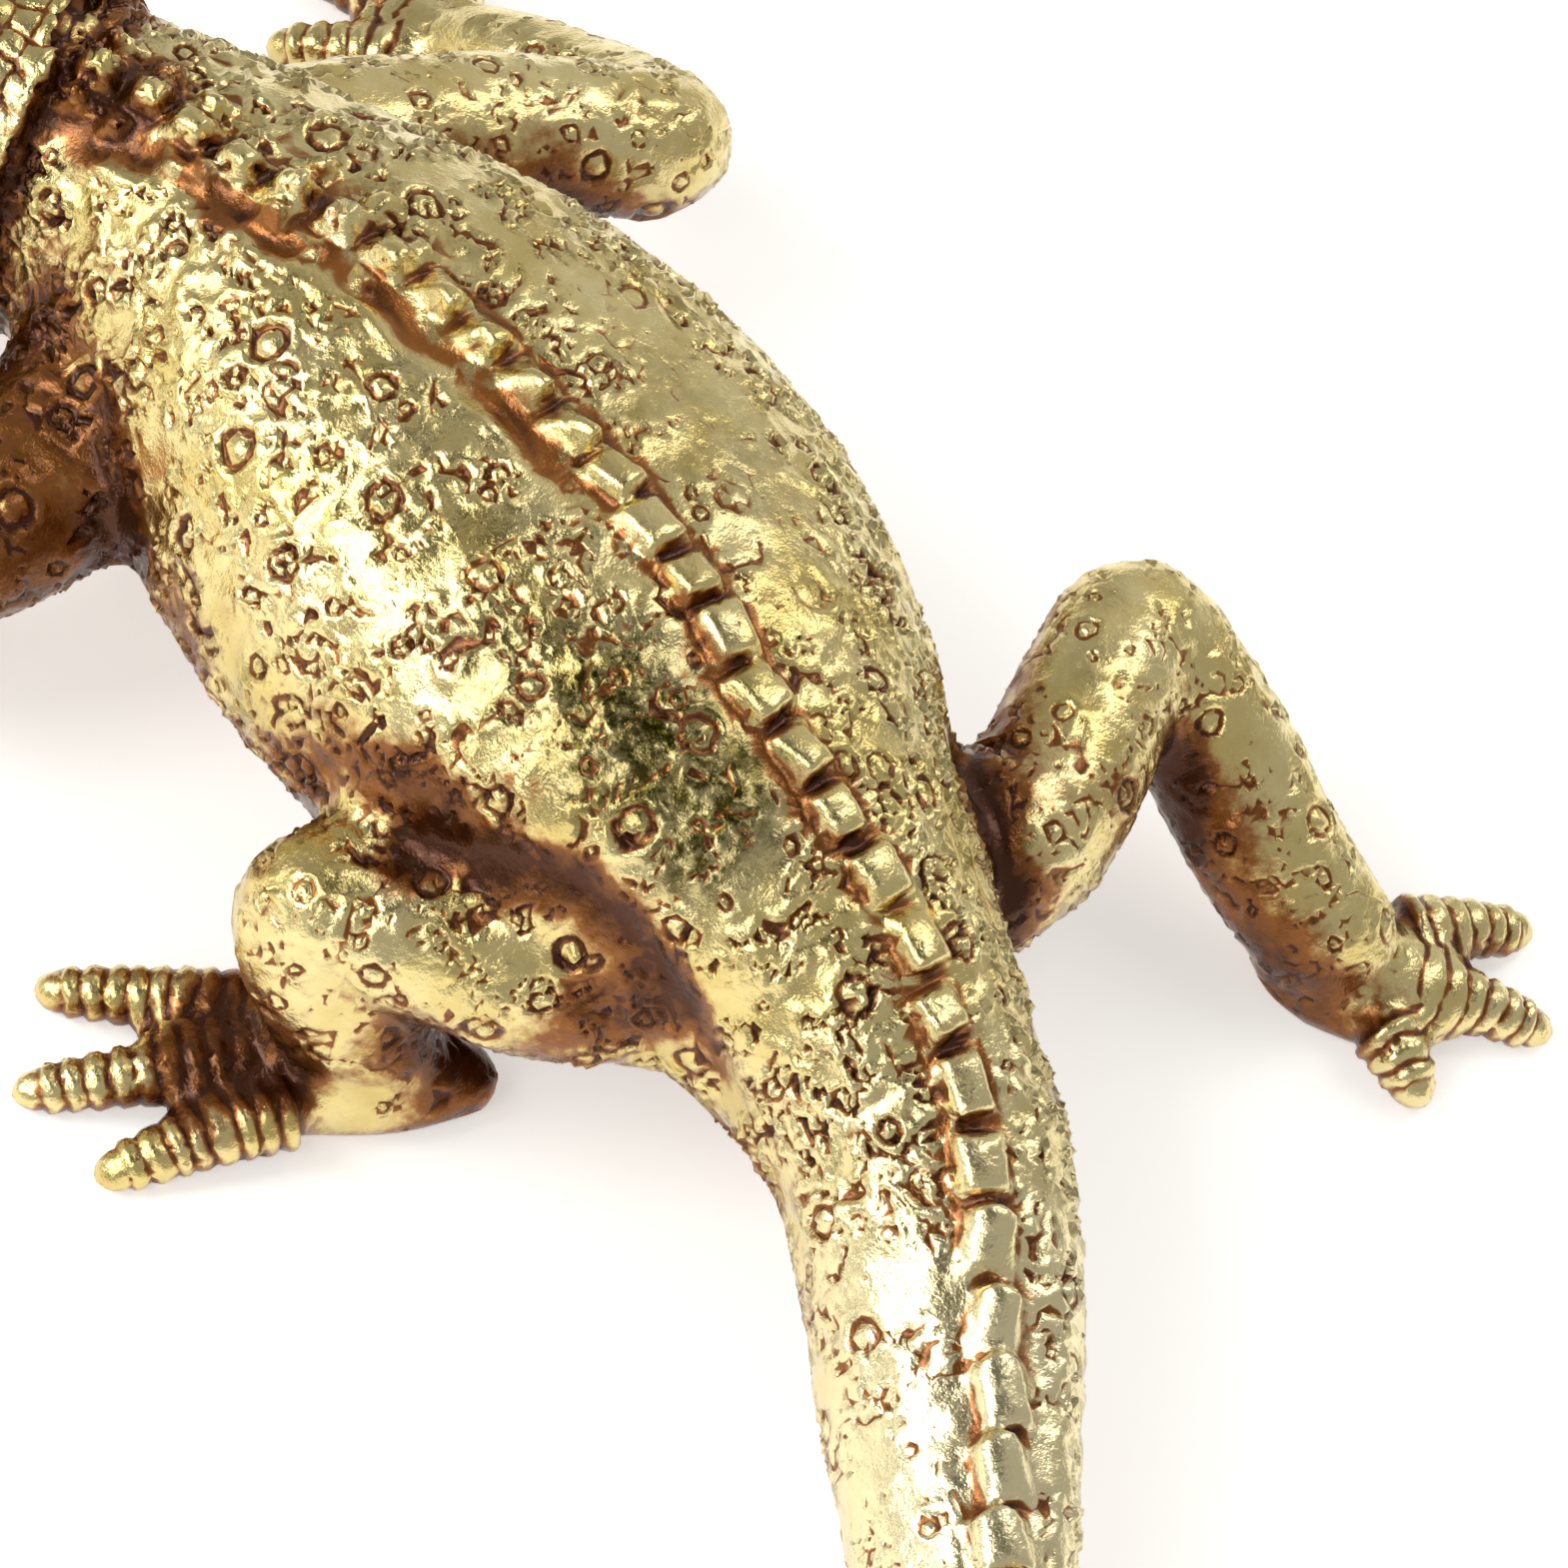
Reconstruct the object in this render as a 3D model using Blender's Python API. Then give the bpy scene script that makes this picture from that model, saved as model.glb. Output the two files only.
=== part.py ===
# Lizard figurine: one hollow-free casting of stone-filled resin with an antique gold finish.
# The animal walks on four splayed legs, its back bowed to its own left and its tail in a long S
# that comes down to the ground. A row of raised scales runs from the nape to the tail tip.
# Metres, +Z up, nose towards +Y, origin on the ground under the middle of the figure.

import math

import bmesh
import bpy
import numpy as np
from mathutils import Matrix, Vector

for old in list(bpy.data.objects):
    bpy.data.objects.remove(old)

# Nose to tail tip, measured along the back. The pose below is drawn on a grid of 250 steps of it.
FIGURE_LENGTH = 0.250
GRID = FIGURE_LENGTH / 250

# Row of raised scales on the back: step and width on the trunk, and both where the tail begins
CREST_PITCH = 0.0041
CREST_WIDTH = 0.0032
TAIL_PITCH = 0.0048
TAIL_WIDTH = 0.0042
CREST_HEIGHT = 0.0016
CREST_GAP = 0.0007
CREST_ROOT = 0.0020

# Toes, foot pads and the depth by which all soles are ground flat
TOE_ROOT_RADIUS = 0.0023
TOE_TIP_RADIUS = 0.0014
TOE_SPREAD = 0.0030
PAD_HEIGHT = 0.0040
PAD_HALF_WIDTH = 0.0045
HEEL_RADIUS = 0.0026
SOLE_DEPTH = 0.0006

# Head: eyeballs, brows, nostrils and the line of the mouth
EYE_RADIUS = 0.0036
NOSTRIL_RADIUS = 0.0008
LIP_STEP = 0.0007

# Fineness of the surface, and how many triangles the skin keeps
SKIN_GRAIN = 0.0008
SKIN_TRIANGLES = 7000
RING_SIDES = 40
LIMB_SIDES = 20
JOINT_BLEND = 0.0045

# Along the spine, forward of the hips: place, turn to the left in degrees, height of the middle,
# half width, height above the middle, depth below the middle
SPINE = np.array([
    (-136, 6, 1.0, 1.2, 1.2, 1.4),
    (-128, -2, 1.7, 1.9, 1.9, 2.2),
    (-112, -18, 2.8, 3.0, 3.0, 3.4),
    (-92, -38, 4.1, 4.1, 4.1, 4.6),
    (-72, -47, 6.2, 5.0, 5.0, 5.2),
    (-56, -43, 8.6, 5.6, 5.8, 5.8),
    (-44, -33, 10.4, 5.9, 6.4, 6.3),
    (-32, -28, 12.0, 7.1, 7.3, 7.0),
    (-20, -27, 13.9, 8.4, 8.9, 8.2),
    (-10, -9, 16.0, 9.3, 11.0, 9.6),
    (0, 1, 17.9, 12.0, 13.4, 11.8),
    (14, 4, 20.0, 18.2, 15.8, 13.9),
    (30, 5, 20.8, 21.4, 16.2, 15.2),
    (42, 9, 21.0, 20.2, 16.4, 15.4),
    (52, 12, 21.0, 17.2, 15.6, 15.0),
    (63, 16, 20.9, 12.6, 13.8, 13.6),
    (71, 24, 20.7, 10.1, 12.6, 12.4),
    (76, 33, 20.5, 9.6, 12.2, 12.0),
    (78, 37, 20.6, 11.6, 13.8, 12.2),
    (86, 44, 20.4, 14.0, 13.0, 10.8),
    (95, 46, 19.4, 13.0, 11.6, 9.2),
    (104, 47, 17.8, 9.6, 8.6, 7.6),
    (111, 47, 16.8, 6.4, 5.8, 5.8),
    (114, 47, 16.4, 3.4, 3.2, 3.6),
])
HIPS = (-4.2, -11.4)
# The ridge of the back sways to the left over the hips, over this stretch of the spine, and on the
# tail it leans to the right by a share of the tail's half width
RIDGE_SWAY = 1.9
SWAY_REACH = 16
TAIL_LEAN = 0.24
NAPE = 76.0
# Form of the raised scales, from each place on the spine forward: the shares of their width and
# length that are left at the top, and how far the top leans to the tail, in half lengths
SCALE_FORMS = {
    "shingles": (-136, 0.60, 0.30, 0.45),
    "plates": (-24, 0.74, 0.74, 0.06),
    "tents": (29, 0.36, 0.22, 0.42),
    "lumps": (46, 0.56, 0.50, 0.14),
}
# Toes from the pad to the tip: share of the way, lift of the middle, share of the root radius
TOE_LINE = [(0.1, 3.6, 1.2), (0.45, 3.1, 0.98), (0.8, 2.0, 0.78)]
TOE_END_LIFT = 1.2

# Each leg: middle of the limb and its radius, from inside the trunk to the wrist or ankle
LEGS = {
    "right_hind": [(2, -8, 16, 6.4), (14, -8, 17, 5.9), (22.9, -2.6, 18.8, 5.3), (28.3, 0.8, 19.0, 4.9),
                   (30.9, -4.7, 15, 5.1), (32.5, -11.8, 10, 5.1), (34.6, -17.6, 6, 4.8), (37.4, -20.8, 3, 4.2)],
    "left_hind": [(-8, -6, 15, 6.4), (-17, -3.5, 15, 5.9), (-25, 2.4, 16.5, 5.2), (-29.9, 6.8, 17, 4.7),
                  (-29.6, 5.6, 12, 4.7), (-27.4, 3.0, 8, 4.4), (-26.4, 2.0, 5, 4.2), (-28, 3.4, 3, 4.0)],
    "right_fore": [(-6, 58, 19, 6.2), (7, 56, 17.5, 5.8), (18, 53.2, 16, 5.4), (25.4, 50.8, 14.5, 5.0),
                   (26.3, 56, 11.5, 4.4), (25.4, 63, 8.1, 3.9), (24, 68.6, 5.0, 3.6), (23, 72, 2.8, 3.2)],
    "left_fore": [(-16, 50, 19, 6.6), (-26.8, 43.2, 15.4, 6.8), (-35, 42.2, 14.2, 6.2), (-43, 44.5, 13.5, 5.4),
                  (-46.5, 50, 11, 4.7), (-48, 56, 7.6, 4.1), (-49.3, 61.5, 4.9, 3.7), (-51, 65.5, 2.8, 3.2)],
}
# Each foot: heel lobe, middle of the pad, then the toe tips, all on the ground
FEET = {
    "right_hind": [(31.6, -15.9), (37.2, -21.2), (50.9, -22.6), (47.0, -30.0), (35.2, -30.8)],
    "left_hind": [(-18.9, -2.4), (-29, 3.4), (-42.0, 17.1), (-47.2, 10.9), (-45.7, 3.2)],
    "right_fore": [(27.5, 65), (23.6, 71), (12.6, 78), (18.5, 85.5), (28, 86)],
    "left_fore": [(-47, 58), (-50.5, 64.5), (-50, 79), (-60, 76), (-65, 67)],
}


def through(at, rows, where):
    """Values on a smooth curve through knot rows, read at the given places."""
    slope = np.gradient(rows, at, axis=0)
    piece = np.clip(np.searchsorted(at, where) - 1, 0, len(at) - 2)
    gap = (at[piece + 1] - at[piece])[:, None]
    t = (where - at[piece])[:, None] / gap
    return ((1 + 2 * t) * (1 - t) ** 2 * rows[piece] + t * (1 - t) ** 2 * gap * slope[piece]
            + t * t * (3 - 2 * t) * rows[piece + 1] + t * t * (t - 1) * gap * slope[piece + 1])


def spine_rows(count):
    """Place, x, y and the knot values at evenly spread places from tail tip to nose, in metres."""
    place = np.linspace(SPINE[0, 0], SPINE[-1, 0], count)
    rows = through(SPINE[:, 0], SPINE[:, 1:], place)
    turn = np.radians(rows[:, 0])
    step = np.diff(place, prepend=place[0])
    x = np.cumsum(-np.sin(turn) * step)
    y = np.cumsum(np.cos(turn) * step)
    x += HIPS[0] - np.interp(0, place, x)
    y += HIPS[1] - np.interp(0, place, y)
    return place * GRID, turn, x * GRID, y * GRID, rows[:, 1:] * GRID


def sway(place, half):
    """How far the ridge stands left of the middle line."""
    over_hips = RIDGE_SWAY * GRID * np.exp(-(place / (SWAY_REACH * GRID) - 0.3) ** 2)
    return over_hips - TAIL_LEAN * half * np.clip((-12 - place / GRID) / 18, 0, 1)


def solid_from_rings(rings, start, end, name):
    """Closed body from rings of points, with a point closing each end."""
    shape = bmesh.new()
    loops = [[shape.verts.new(point) for point in ring] for ring in rings]
    sides = len(loops[0])
    for lower, upper in zip(loops, loops[1:]):
        for n in range(sides):
            m = (n + 1) % sides
            shape.faces.new((lower[n], lower[m], upper[m], upper[n]))
    for loop, tip in ((loops[0][::-1], start), (loops[-1], end)):
        pole = shape.verts.new(tip)
        for n in range(sides):
            shape.faces.new((loop[n], loop[(n + 1) % sides], pole))
    bmesh.ops.recalc_face_normals(shape, faces=shape.faces)
    mesh = bpy.data.meshes.new(name)
    shape.to_mesh(mesh)
    shape.free()
    body = bpy.data.objects.new(name, mesh)
    bpy.context.collection.objects.link(body)
    return body


def trunk():
    """Head, trunk and tail as one body, widest low on the flanks and flatter on the belly."""
    place, turn, x, y, size = spine_rows(190)
    angle = np.linspace(0, 2 * math.pi, RING_SIDES, endpoint=False)
    across = np.sign(np.sin(angle)) * np.abs(np.sin(angle)) ** 0.94
    rings = []
    for n in range(len(place)):
        middle, half, above, below = size[n]
        tall = np.where(np.cos(angle) > 0, above, below)
        side = across * half - sway(place[n], half) * np.cos(angle)
        rise = np.sign(np.cos(angle)) * np.abs(np.cos(angle)) ** 0.94 * tall
        ring = np.stack([x[n] + side * math.cos(turn[n]), y[n] + side * math.sin(turn[n]), middle + rise], 1)
        rings.append(ring)
    return solid_from_rings(rings, rings[0].mean(axis=0), rings[-1].mean(axis=0), "trunk")


def limb(name, knots):
    """Round limb along a smooth path through its knots, with round ends."""
    knots = np.array(knots, float)
    chord = np.linalg.norm(np.diff(knots[:, :3], axis=0), axis=1)
    at = np.concatenate([[0], np.cumsum(chord)])
    where = np.unique(np.concatenate([
        np.linspace(at[0], at[-1], 48),
        at[0] + knots[0, 3] * (1 - np.cos(np.linspace(0.15, 1.5, 7))),
        at[-1] - knots[-1, 3] * (1 - np.cos(np.linspace(0.15, 1.5, 7)))]))
    rows = through(at, knots, where)
    path = rows[:, :3]
    radius = rows[:, 3].copy()
    for far in (where - at[0], at[-1] - where):
        near = np.clip(1 - far / radius, 0, 1)
        radius *= np.sqrt(np.maximum(1 - near * near, 0.0004))
    ahead = np.gradient(path, axis=0)
    rings = []
    side = Vector((0, 0, 1)).cross(Vector(ahead[0]))
    if side.length < 1e-6:
        side = Vector((1, 0, 0))
    for n in range(len(path)):
        forward = Vector(ahead[n]).normalized()
        side = (side - forward * side.dot(forward)).normalized()
        over = forward.cross(side)
        ring = []
        for k in range(LIMB_SIDES):
            turn = 2 * math.pi * k / LIMB_SIDES
            out = side * math.cos(turn) + over * math.sin(turn)
            ring.append((Vector(path[n]) + out * radius[n]) * GRID)
        rings.append(ring)
    return solid_from_rings(rings, Vector(path[0]) * GRID, Vector(path[-1]) * GRID, name)


def pad(name, heel, middle):
    """Low egg-shaped sole pad that carries the toes."""
    along = Vector((middle[0] - heel[0], middle[1] - heel[1], 0))
    bpy.ops.mesh.primitive_uv_sphere_add(segments=24, ring_count=12, radius=1)
    body = bpy.context.object
    body.name = name
    turn = Matrix.Rotation(math.atan2(along.y, along.x), 4, "Z")
    grow = Matrix.Diagonal((along.length * GRID, PAD_HALF_WIDTH, PAD_HEIGHT, 1))
    body.data.transform(Matrix.Translation((middle[0] * GRID, middle[1] * GRID, 0.6 * PAD_HEIGHT)) @ turn @ grow)
    return body


def foot(name, marks):
    """Pad, heel lobe and three toes that arch a little and end in round tips."""
    heel, middle, tips = marks[0], marks[1], marks[2:]
    root = TOE_ROOT_RADIUS / GRID
    heel_radius = HEEL_RADIUS / GRID
    made = [pad(name + "_pad", heel, middle)]
    made.append(limb(name + "_heel", [(*middle, 3.2, 1.15 * heel_radius), (*heel, 2.2, heel_radius)]))
    ahead = (Vector(tips[1]) - Vector(middle)).normalized()
    for n, tip in enumerate(tips):
        aside = Vector(tip) - Vector(tips[1])
        aside = (aside - ahead * aside.dot(ahead)).normalized() * TOE_SPREAD / GRID
        knots = []
        for share, lift, thick in (*TOE_LINE, (1, TOE_END_LIFT, TOE_TIP_RADIUS / TOE_ROOT_RADIUS)):
            spot = Vector(middle).lerp(Vector(tip), share) + aside * (1 - share)
            knots.append((*spot, lift, thick * root))
        made.append(limb(name + "_toe_" + str(n), knots))
    return made


def head_marks():
    """Eyeballs under long brow ridges, and two small nostril bumps, in pairs."""
    place, turn, x, y, size = spine_rows(1200)

    def on_head(spot, share, rise):
        at = spot * GRID
        heading = np.interp(at, place, turn)
        middle, half, above = (np.interp(at, place, size[:, k]) for k in (0, 1, 2))
        out = share * half
        return (np.interp(at, place, x) + out * math.cos(heading),
                np.interp(at, place, y) + out * math.sin(heading), middle + rise * above)

    made = []
    for side in (-1, 1):
        for mark, radius in (((96.5, 0.78 * side, 0.5), EYE_RADIUS), ((110.5, 0.5 * side, 0.7), NOSTRIL_RADIUS)):
            bpy.ops.mesh.primitive_uv_sphere_add(segments=24, ring_count=12, radius=radius)
            bpy.context.object.data.transform(Matrix.Translation(on_head(*mark)))
            made.append(bpy.context.object)
        ridge = []
        for spot, share, rise, thick in ((87, 0.62, 0.72, 0.5), (92, 0.66, 0.8, 0.72), (97, 0.68, 0.86, 0.76),
                                         (101.5, 0.62, 0.8, 0.55), (105, 0.5, 0.72, 0.35)):
            ridge.append((*(c / GRID for c in on_head(spot, share * side, rise)), thick * EYE_RADIUS / GRID))
        made.append(limb("brow", ridge))
    return made


def part_lips(body):
    """The lower jaw set back under the upper lip, from the corner of the mouth round the snout."""
    place, turn, x, y, size = spine_rows(1200)
    points = points_of(body.data)
    nose = place > 84 * GRID
    gap = np.hypot(points[:, :1] - x[nose][::6], points[:, 1:2] - y[nose][::6])
    nearest = np.nonzero(nose)[0][::6][gap.argmin(axis=1)]
    axis = np.stack([x[nearest], y[nearest], size[nearest, 0]], 1)
    seam = size[nearest, 0] - 0.22 * size[nearest, 3]
    under = 1 / (1 + np.exp((points[:, 2] - seam) / (0.25 * LIP_STEP)))
    along = np.clip((place[nearest] / GRID - 86) / 4, 0, 1)
    inward = axis - points
    inward[:, 2] *= 0.3
    inward /= np.maximum(np.linalg.norm(inward, axis=1, keepdims=True), 1e-6)
    points += inward * (LIP_STEP * under * along)[:, None]
    body.data.vertices.foreach_set("co", points.ravel())
    body.data.update()


def baked(body):
    """The body's mesh with its modifiers worked in."""
    mesh = bpy.data.meshes.new_from_object(body.evaluated_get(bpy.context.evaluated_depsgraph_get()))
    body.modifiers.clear()
    old_mesh = body.data
    body.data = mesh
    bpy.data.meshes.remove(old_mesh)
    return mesh


def joined(bodies, name):
    """Several bodies in one object."""
    shape = bmesh.new()
    for body in bodies:
        shape.from_mesh(body.data)
    mesh = bpy.data.meshes.new(name)
    shape.to_mesh(mesh)
    shape.free()
    for body in bodies:
        bpy.data.objects.remove(body)
    whole = bpy.data.objects.new(name, mesh)
    bpy.context.collection.objects.link(whole)
    return whole


def points_of(mesh):
    flat = np.empty(len(mesh.vertices) * 3)
    mesh.vertices.foreach_get("co", flat)
    return flat.reshape(-1, 3)


def blend_skin(body):
    """One skin over trunk, legs and feet, with soft hollows where they meet."""
    grain = body.modifiers.new("grain", "REMESH")
    grain.mode = "VOXEL"
    grain.voxel_size = SKIN_GRAIN
    baked(body)
    evenly = body.modifiers.new("evenly", "SMOOTH")
    evenly.factor = 0.5
    evenly.iterations = 4
    baked(body)
    points = points_of(body.data)
    weight = np.zeros(len(points))
    for name, knots in LEGS.items():
        for knot in knots[1:3]:
            far = np.linalg.norm(points - np.array(knot[:3]) * GRID, axis=1)
            weight = np.maximum(weight, np.exp(-(far / (2.2 * JOINT_BLEND)) ** 2))
    group = body.vertex_groups.new(name="joints")
    for n in np.nonzero(weight > 0.05)[0]:
        group.add([int(n)], float(weight[n]), "REPLACE")
    soften = body.modifiers.new("soften", "SMOOTH")
    soften.factor = 0.5
    soften.iterations = 14
    soften.vertex_group = "joints"
    baked(body)
    body.vertex_groups.clear()


def thin_out(body, triangles):
    """Fewer triangles where the skin is even."""
    body.data.calc_loop_triangles()
    fewer = body.modifiers.new("fewer", "DECIMATE")
    fewer.ratio = triangles / len(body.data.loop_triangles)
    fewer.use_collapse_triangulate = True
    baked(body)


def cut_with(body, tool, how):
    """Exact join or cut of two bodies. The tool is used up."""
    cut = body.modifiers.new(how, "BOOLEAN")
    cut.operation = how
    cut.solver = "EXACT"
    cut.object = tool
    baked(body)
    bpy.data.objects.remove(tool)


def ground_block():
    """Block whose top is the ground, to grind the soles flat."""
    bpy.ops.mesh.primitive_cube_add(size=1)
    block = bpy.context.object
    side = 2 * FIGURE_LENGTH
    block.data.transform(Matrix.Translation((0, 0, SOLE_DEPTH - side / 2)) @ Matrix.Diagonal((side, side, side, 1)))
    return block


def crest():
    """Raised scales on the ridge: lumps on the neck, tents, plates over the hips, shingles on the tail."""
    place, turn, x, y, size = spine_rows(1200)
    top = size[:, 0] + size[:, 2]
    slope = np.gradient(top, place)
    first = (NAPE - 2.0) * GRID
    last = SPINE[1, 0] * GRID
    shape = bmesh.new()
    at = first
    while at > last:
        half, above = (np.interp(at, place, size[:, k]) for k in (1, 2))
        change = [-30 * GRID, 0]
        wide = min(np.interp(at, change, [TAIL_WIDTH, CREST_WIDTH]), 1.2 * half) / 2
        pitch = np.interp(at, change, [TAIL_PITCH, CREST_PITCH]) * min(1, 0.35 + half / TAIL_PITCH / 2)
        length = pitch - CREST_GAP
        tall = min(CREST_HEIGHT, 0.45 * above)
        heading = np.interp(at, place, turn)
        lean = math.atan(np.interp(at, place, slope))
        spot = Matrix.Translation([np.interp(at, place, v) for v in (x, y, top)])
        aside = Matrix.Translation((-sway(at, half), 0, 0))
        frame = spot @ Matrix.Rotation(heading, 4, "Z") @ aside @ Matrix.Rotation(lean, 4, "X")
        starts, broad_top, long_top, leaning = max(f for f in SCALE_FORMS.values() if f[0] * GRID <= at)
        outline = ((-1, -1), (1, -1), (1, 1), (-1, 1))
        levels = ((1, 1, 0, -CREST_ROOT), (1, 1, 0, 0.35 * tall), (broad_top, long_top, -leaning, tall))
        loops = []
        for broad, long, back, high in levels:
            loop = []
            for side, front in outline:
                point = (side * wide * broad, (front * long + back) * length / 2, high)
                loop.append(shape.verts.new(frame @ Vector(point)))
            loops.append(loop)
        for lower, upper in zip(loops, loops[1:]):
            for n in range(4):
                m = (n + 1) % 4
                shape.faces.new((lower[n], lower[m], upper[m], upper[n]))
        shape.faces.new(loops[0][::-1])
        shape.faces.new(loops[-1])
        at -= pitch
    bmesh.ops.recalc_face_normals(shape, faces=shape.faces)
    mesh = bpy.data.meshes.new("crest")
    shape.to_mesh(mesh)
    shape.free()
    row = bpy.data.objects.new("crest", mesh)
    bpy.context.collection.objects.link(row)
    return row


def finish(body):
    """Antique gold over resin."""
    gold = bpy.data.materials.new("antique_gold_on_resin")
    gold.use_nodes = True
    shader = gold.node_tree.nodes["Principled BSDF"]
    shader.inputs["Base Color"].default_value = (0.58, 0.45, 0.17, 1)
    shader.inputs["Metallic"].default_value = 0.9
    shader.inputs["Roughness"].default_value = 0.3
    body.data.materials.clear()
    body.data.materials.append(gold)


parts = [trunk()]
for name, knots in LEGS.items():
    parts.append(limb(name + "_leg", knots))
    parts.extend(foot(name, FEET[name]))
parts.extend(head_marks())
figurine = joined(parts, "lizard_figurine")
blend_skin(figurine)
part_lips(figurine)
thin_out(figurine, SKIN_TRIANGLES)
cut_with(figurine, crest(), "UNION")
cut_with(figurine, ground_block(), "DIFFERENCE")
finish(figurine)
corners = points_of(figurine.data)
low, high = corners.min(axis=0), corners.max(axis=0)
figurine.data.transform(Matrix.Translation((-(low[0] + high[0]) / 2, -(low[1] + high[1]) / 2, -low[2])))
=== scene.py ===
# Lizard figurine, one casting of stone-filled resin with an antique gold finish.
# The file follows the casting: its skin, the raised scales, the ringed toes, the carving, the finish,
# and then the floor, the light and the camera it is shown with. Metres, +Z up, nose towards +Y.
import math

import bmesh
import bpy
import numpy as np
from mathutils import Matrix, Vector


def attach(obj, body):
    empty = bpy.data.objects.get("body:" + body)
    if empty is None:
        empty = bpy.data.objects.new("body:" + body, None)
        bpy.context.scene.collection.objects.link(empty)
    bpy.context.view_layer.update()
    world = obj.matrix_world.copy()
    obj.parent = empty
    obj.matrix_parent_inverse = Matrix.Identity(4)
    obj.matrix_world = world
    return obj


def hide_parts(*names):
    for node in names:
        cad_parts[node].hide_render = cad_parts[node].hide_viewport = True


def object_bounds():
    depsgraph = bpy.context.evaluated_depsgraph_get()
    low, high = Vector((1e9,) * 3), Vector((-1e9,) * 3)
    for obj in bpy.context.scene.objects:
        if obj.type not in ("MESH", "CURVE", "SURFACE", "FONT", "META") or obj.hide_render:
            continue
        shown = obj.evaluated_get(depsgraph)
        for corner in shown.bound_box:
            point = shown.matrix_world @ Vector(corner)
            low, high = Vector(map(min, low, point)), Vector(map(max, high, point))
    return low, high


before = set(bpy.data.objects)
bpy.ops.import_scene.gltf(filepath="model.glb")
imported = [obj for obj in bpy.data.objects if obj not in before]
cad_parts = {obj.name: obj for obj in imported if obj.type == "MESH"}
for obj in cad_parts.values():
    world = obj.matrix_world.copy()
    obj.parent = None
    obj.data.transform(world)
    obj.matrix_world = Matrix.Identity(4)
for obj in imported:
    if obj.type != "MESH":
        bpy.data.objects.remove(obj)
cad_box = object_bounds()

# The skin: the casting's plain form, as it leaves the mould before its carving is cut.
# It is stone-filled resin, poured solid in one piece, so it starts from the one solid of the
# model, with the facets of that solid rubbed down the way a wax master is.
MM = 0.001
SKIN_GRAIN = 0.42 * MM
RUB_ALL = 5
RUB_BODY = 46
STATIONS = 1200
COARSE_STATIONS = 500
TROUGH_DEPTH = 0.40 * MM
TOE_PARE = 0.02 * MM
HOOD_BACK = 2.6 * MM
# The backbone that everything is set out on: along it, forward of the hips, the place, the turn to
# the left in degrees, the height of the middle, the half width, and how far the back and the belly
# lie from the middle, in millimetres
BACKBONE = np.array([
    (-136, 6, 1.0, 1.2, 1.2, 1.4), (-128, -2, 1.7, 1.9, 1.9, 2.2), (-112, -18, 2.8, 3.0, 3.0, 3.4),
    (-92, -38, 4.1, 4.1, 4.1, 4.6), (-72, -47, 6.2, 5.0, 5.0, 5.2), (-56, -43, 8.6, 5.6, 5.8, 5.8),
    (-44, -33, 10.4, 5.9, 6.4, 6.3), (-32, -28, 12.0, 7.1, 7.3, 7.0), (-20, -27, 13.9, 8.4, 8.9, 8.2),
    (-10, -9, 16.0, 9.3, 11.0, 9.6), (0, 1, 17.9, 12.0, 13.4, 11.8), (14, 4, 20.0, 18.2, 15.8, 13.9),
    (30, 5, 20.8, 21.4, 16.2, 15.2), (42, 9, 21.0, 20.2, 16.4, 15.4), (52, 12, 21.0, 17.2, 15.6, 15.0),
    (63, 16, 20.9, 12.6, 13.8, 13.6), (71, 24, 20.7, 10.1, 12.6, 12.4), (76, 33, 20.5, 9.6, 12.2, 12.0),
    (78, 37, 20.6, 11.6, 13.8, 12.2), (86, 44, 20.4, 14.0, 13.0, 10.8), (95, 46, 19.4, 13.0, 11.6, 9.2),
    (104, 47, 17.8, 9.6, 8.6, 7.6), (111, 47, 16.8, 6.4, 5.8, 5.8), (114, 47, 16.4, 3.4, 3.2, 3.6),
])
# Where the hips stand, and from there to the middle of the figure on the ground
HIPS = (-4.2, -11.4)
HIP_SWAY = 1.9 * MM
TAIL_LEAN = 0.24
# how squared the back's cross-section is, and how far round from the ridge counts as the back
SQUARE = 0.94
OVER_THE_BACK = 1.2
TAIL_ROOT = (-30 * MM, 0)
TO_MIDDLE = Vector((7.836, 17.905, -0.600)) * MM
# The feet: middle of the pad, then the toe tips; and the toes' line from pad to tip: share of the
# way, lift of the middle, share of the root's radius
FEET = {
    "right_hind": [(37.2, -21.2), (50.9, -22.6), (47.0, -30.0), (35.2, -30.8)],
    "left_hind": [(-29, 3.4), (-42.0, 17.1), (-47.2, 10.9), (-45.7, 3.2)],
    "right_fore": [(23.6, 71), (12.6, 78), (18.5, 85.5), (28, 86)],
    "left_fore": [(-50.5, 64.5), (-50, 79), (-60, 76), (-65, 67)],
}
TOE_LINE = np.array([(0.1, 3.6, 1.2), (0.45, 3.1, 0.98), (0.8, 2.0, 0.78), (1.0, 1.2, 0.61)])
TOE_ROOT_RADIUS = 2.3 * MM
TOE_SPREAD = 3.0
TOE_STEPS = 60
TOES_BELOW = 9 * MM


def piece_from(name, mesh):
    """A shown object at the origin, unturned and unscaled."""
    made = bpy.data.objects.new(name, mesh)
    bpy.context.scene.collection.objects.link(made)
    return made


def set_down(obj):
    """The object's modifiers worked into its mesh."""
    graph = bpy.context.evaluated_depsgraph_get()
    mesh = bpy.data.meshes.new_from_object(obj.evaluated_get(graph), depsgraph=graph)
    obj.modifiers.clear()
    obj.data = mesh


def new_skin(obj, grain):
    """Covers the object with one even skin of squares, each as wide as the grain."""
    remesh = obj.modifiers.new("skin", "REMESH")
    remesh.mode = "VOXEL"
    remesh.voxel_size = grain


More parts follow.
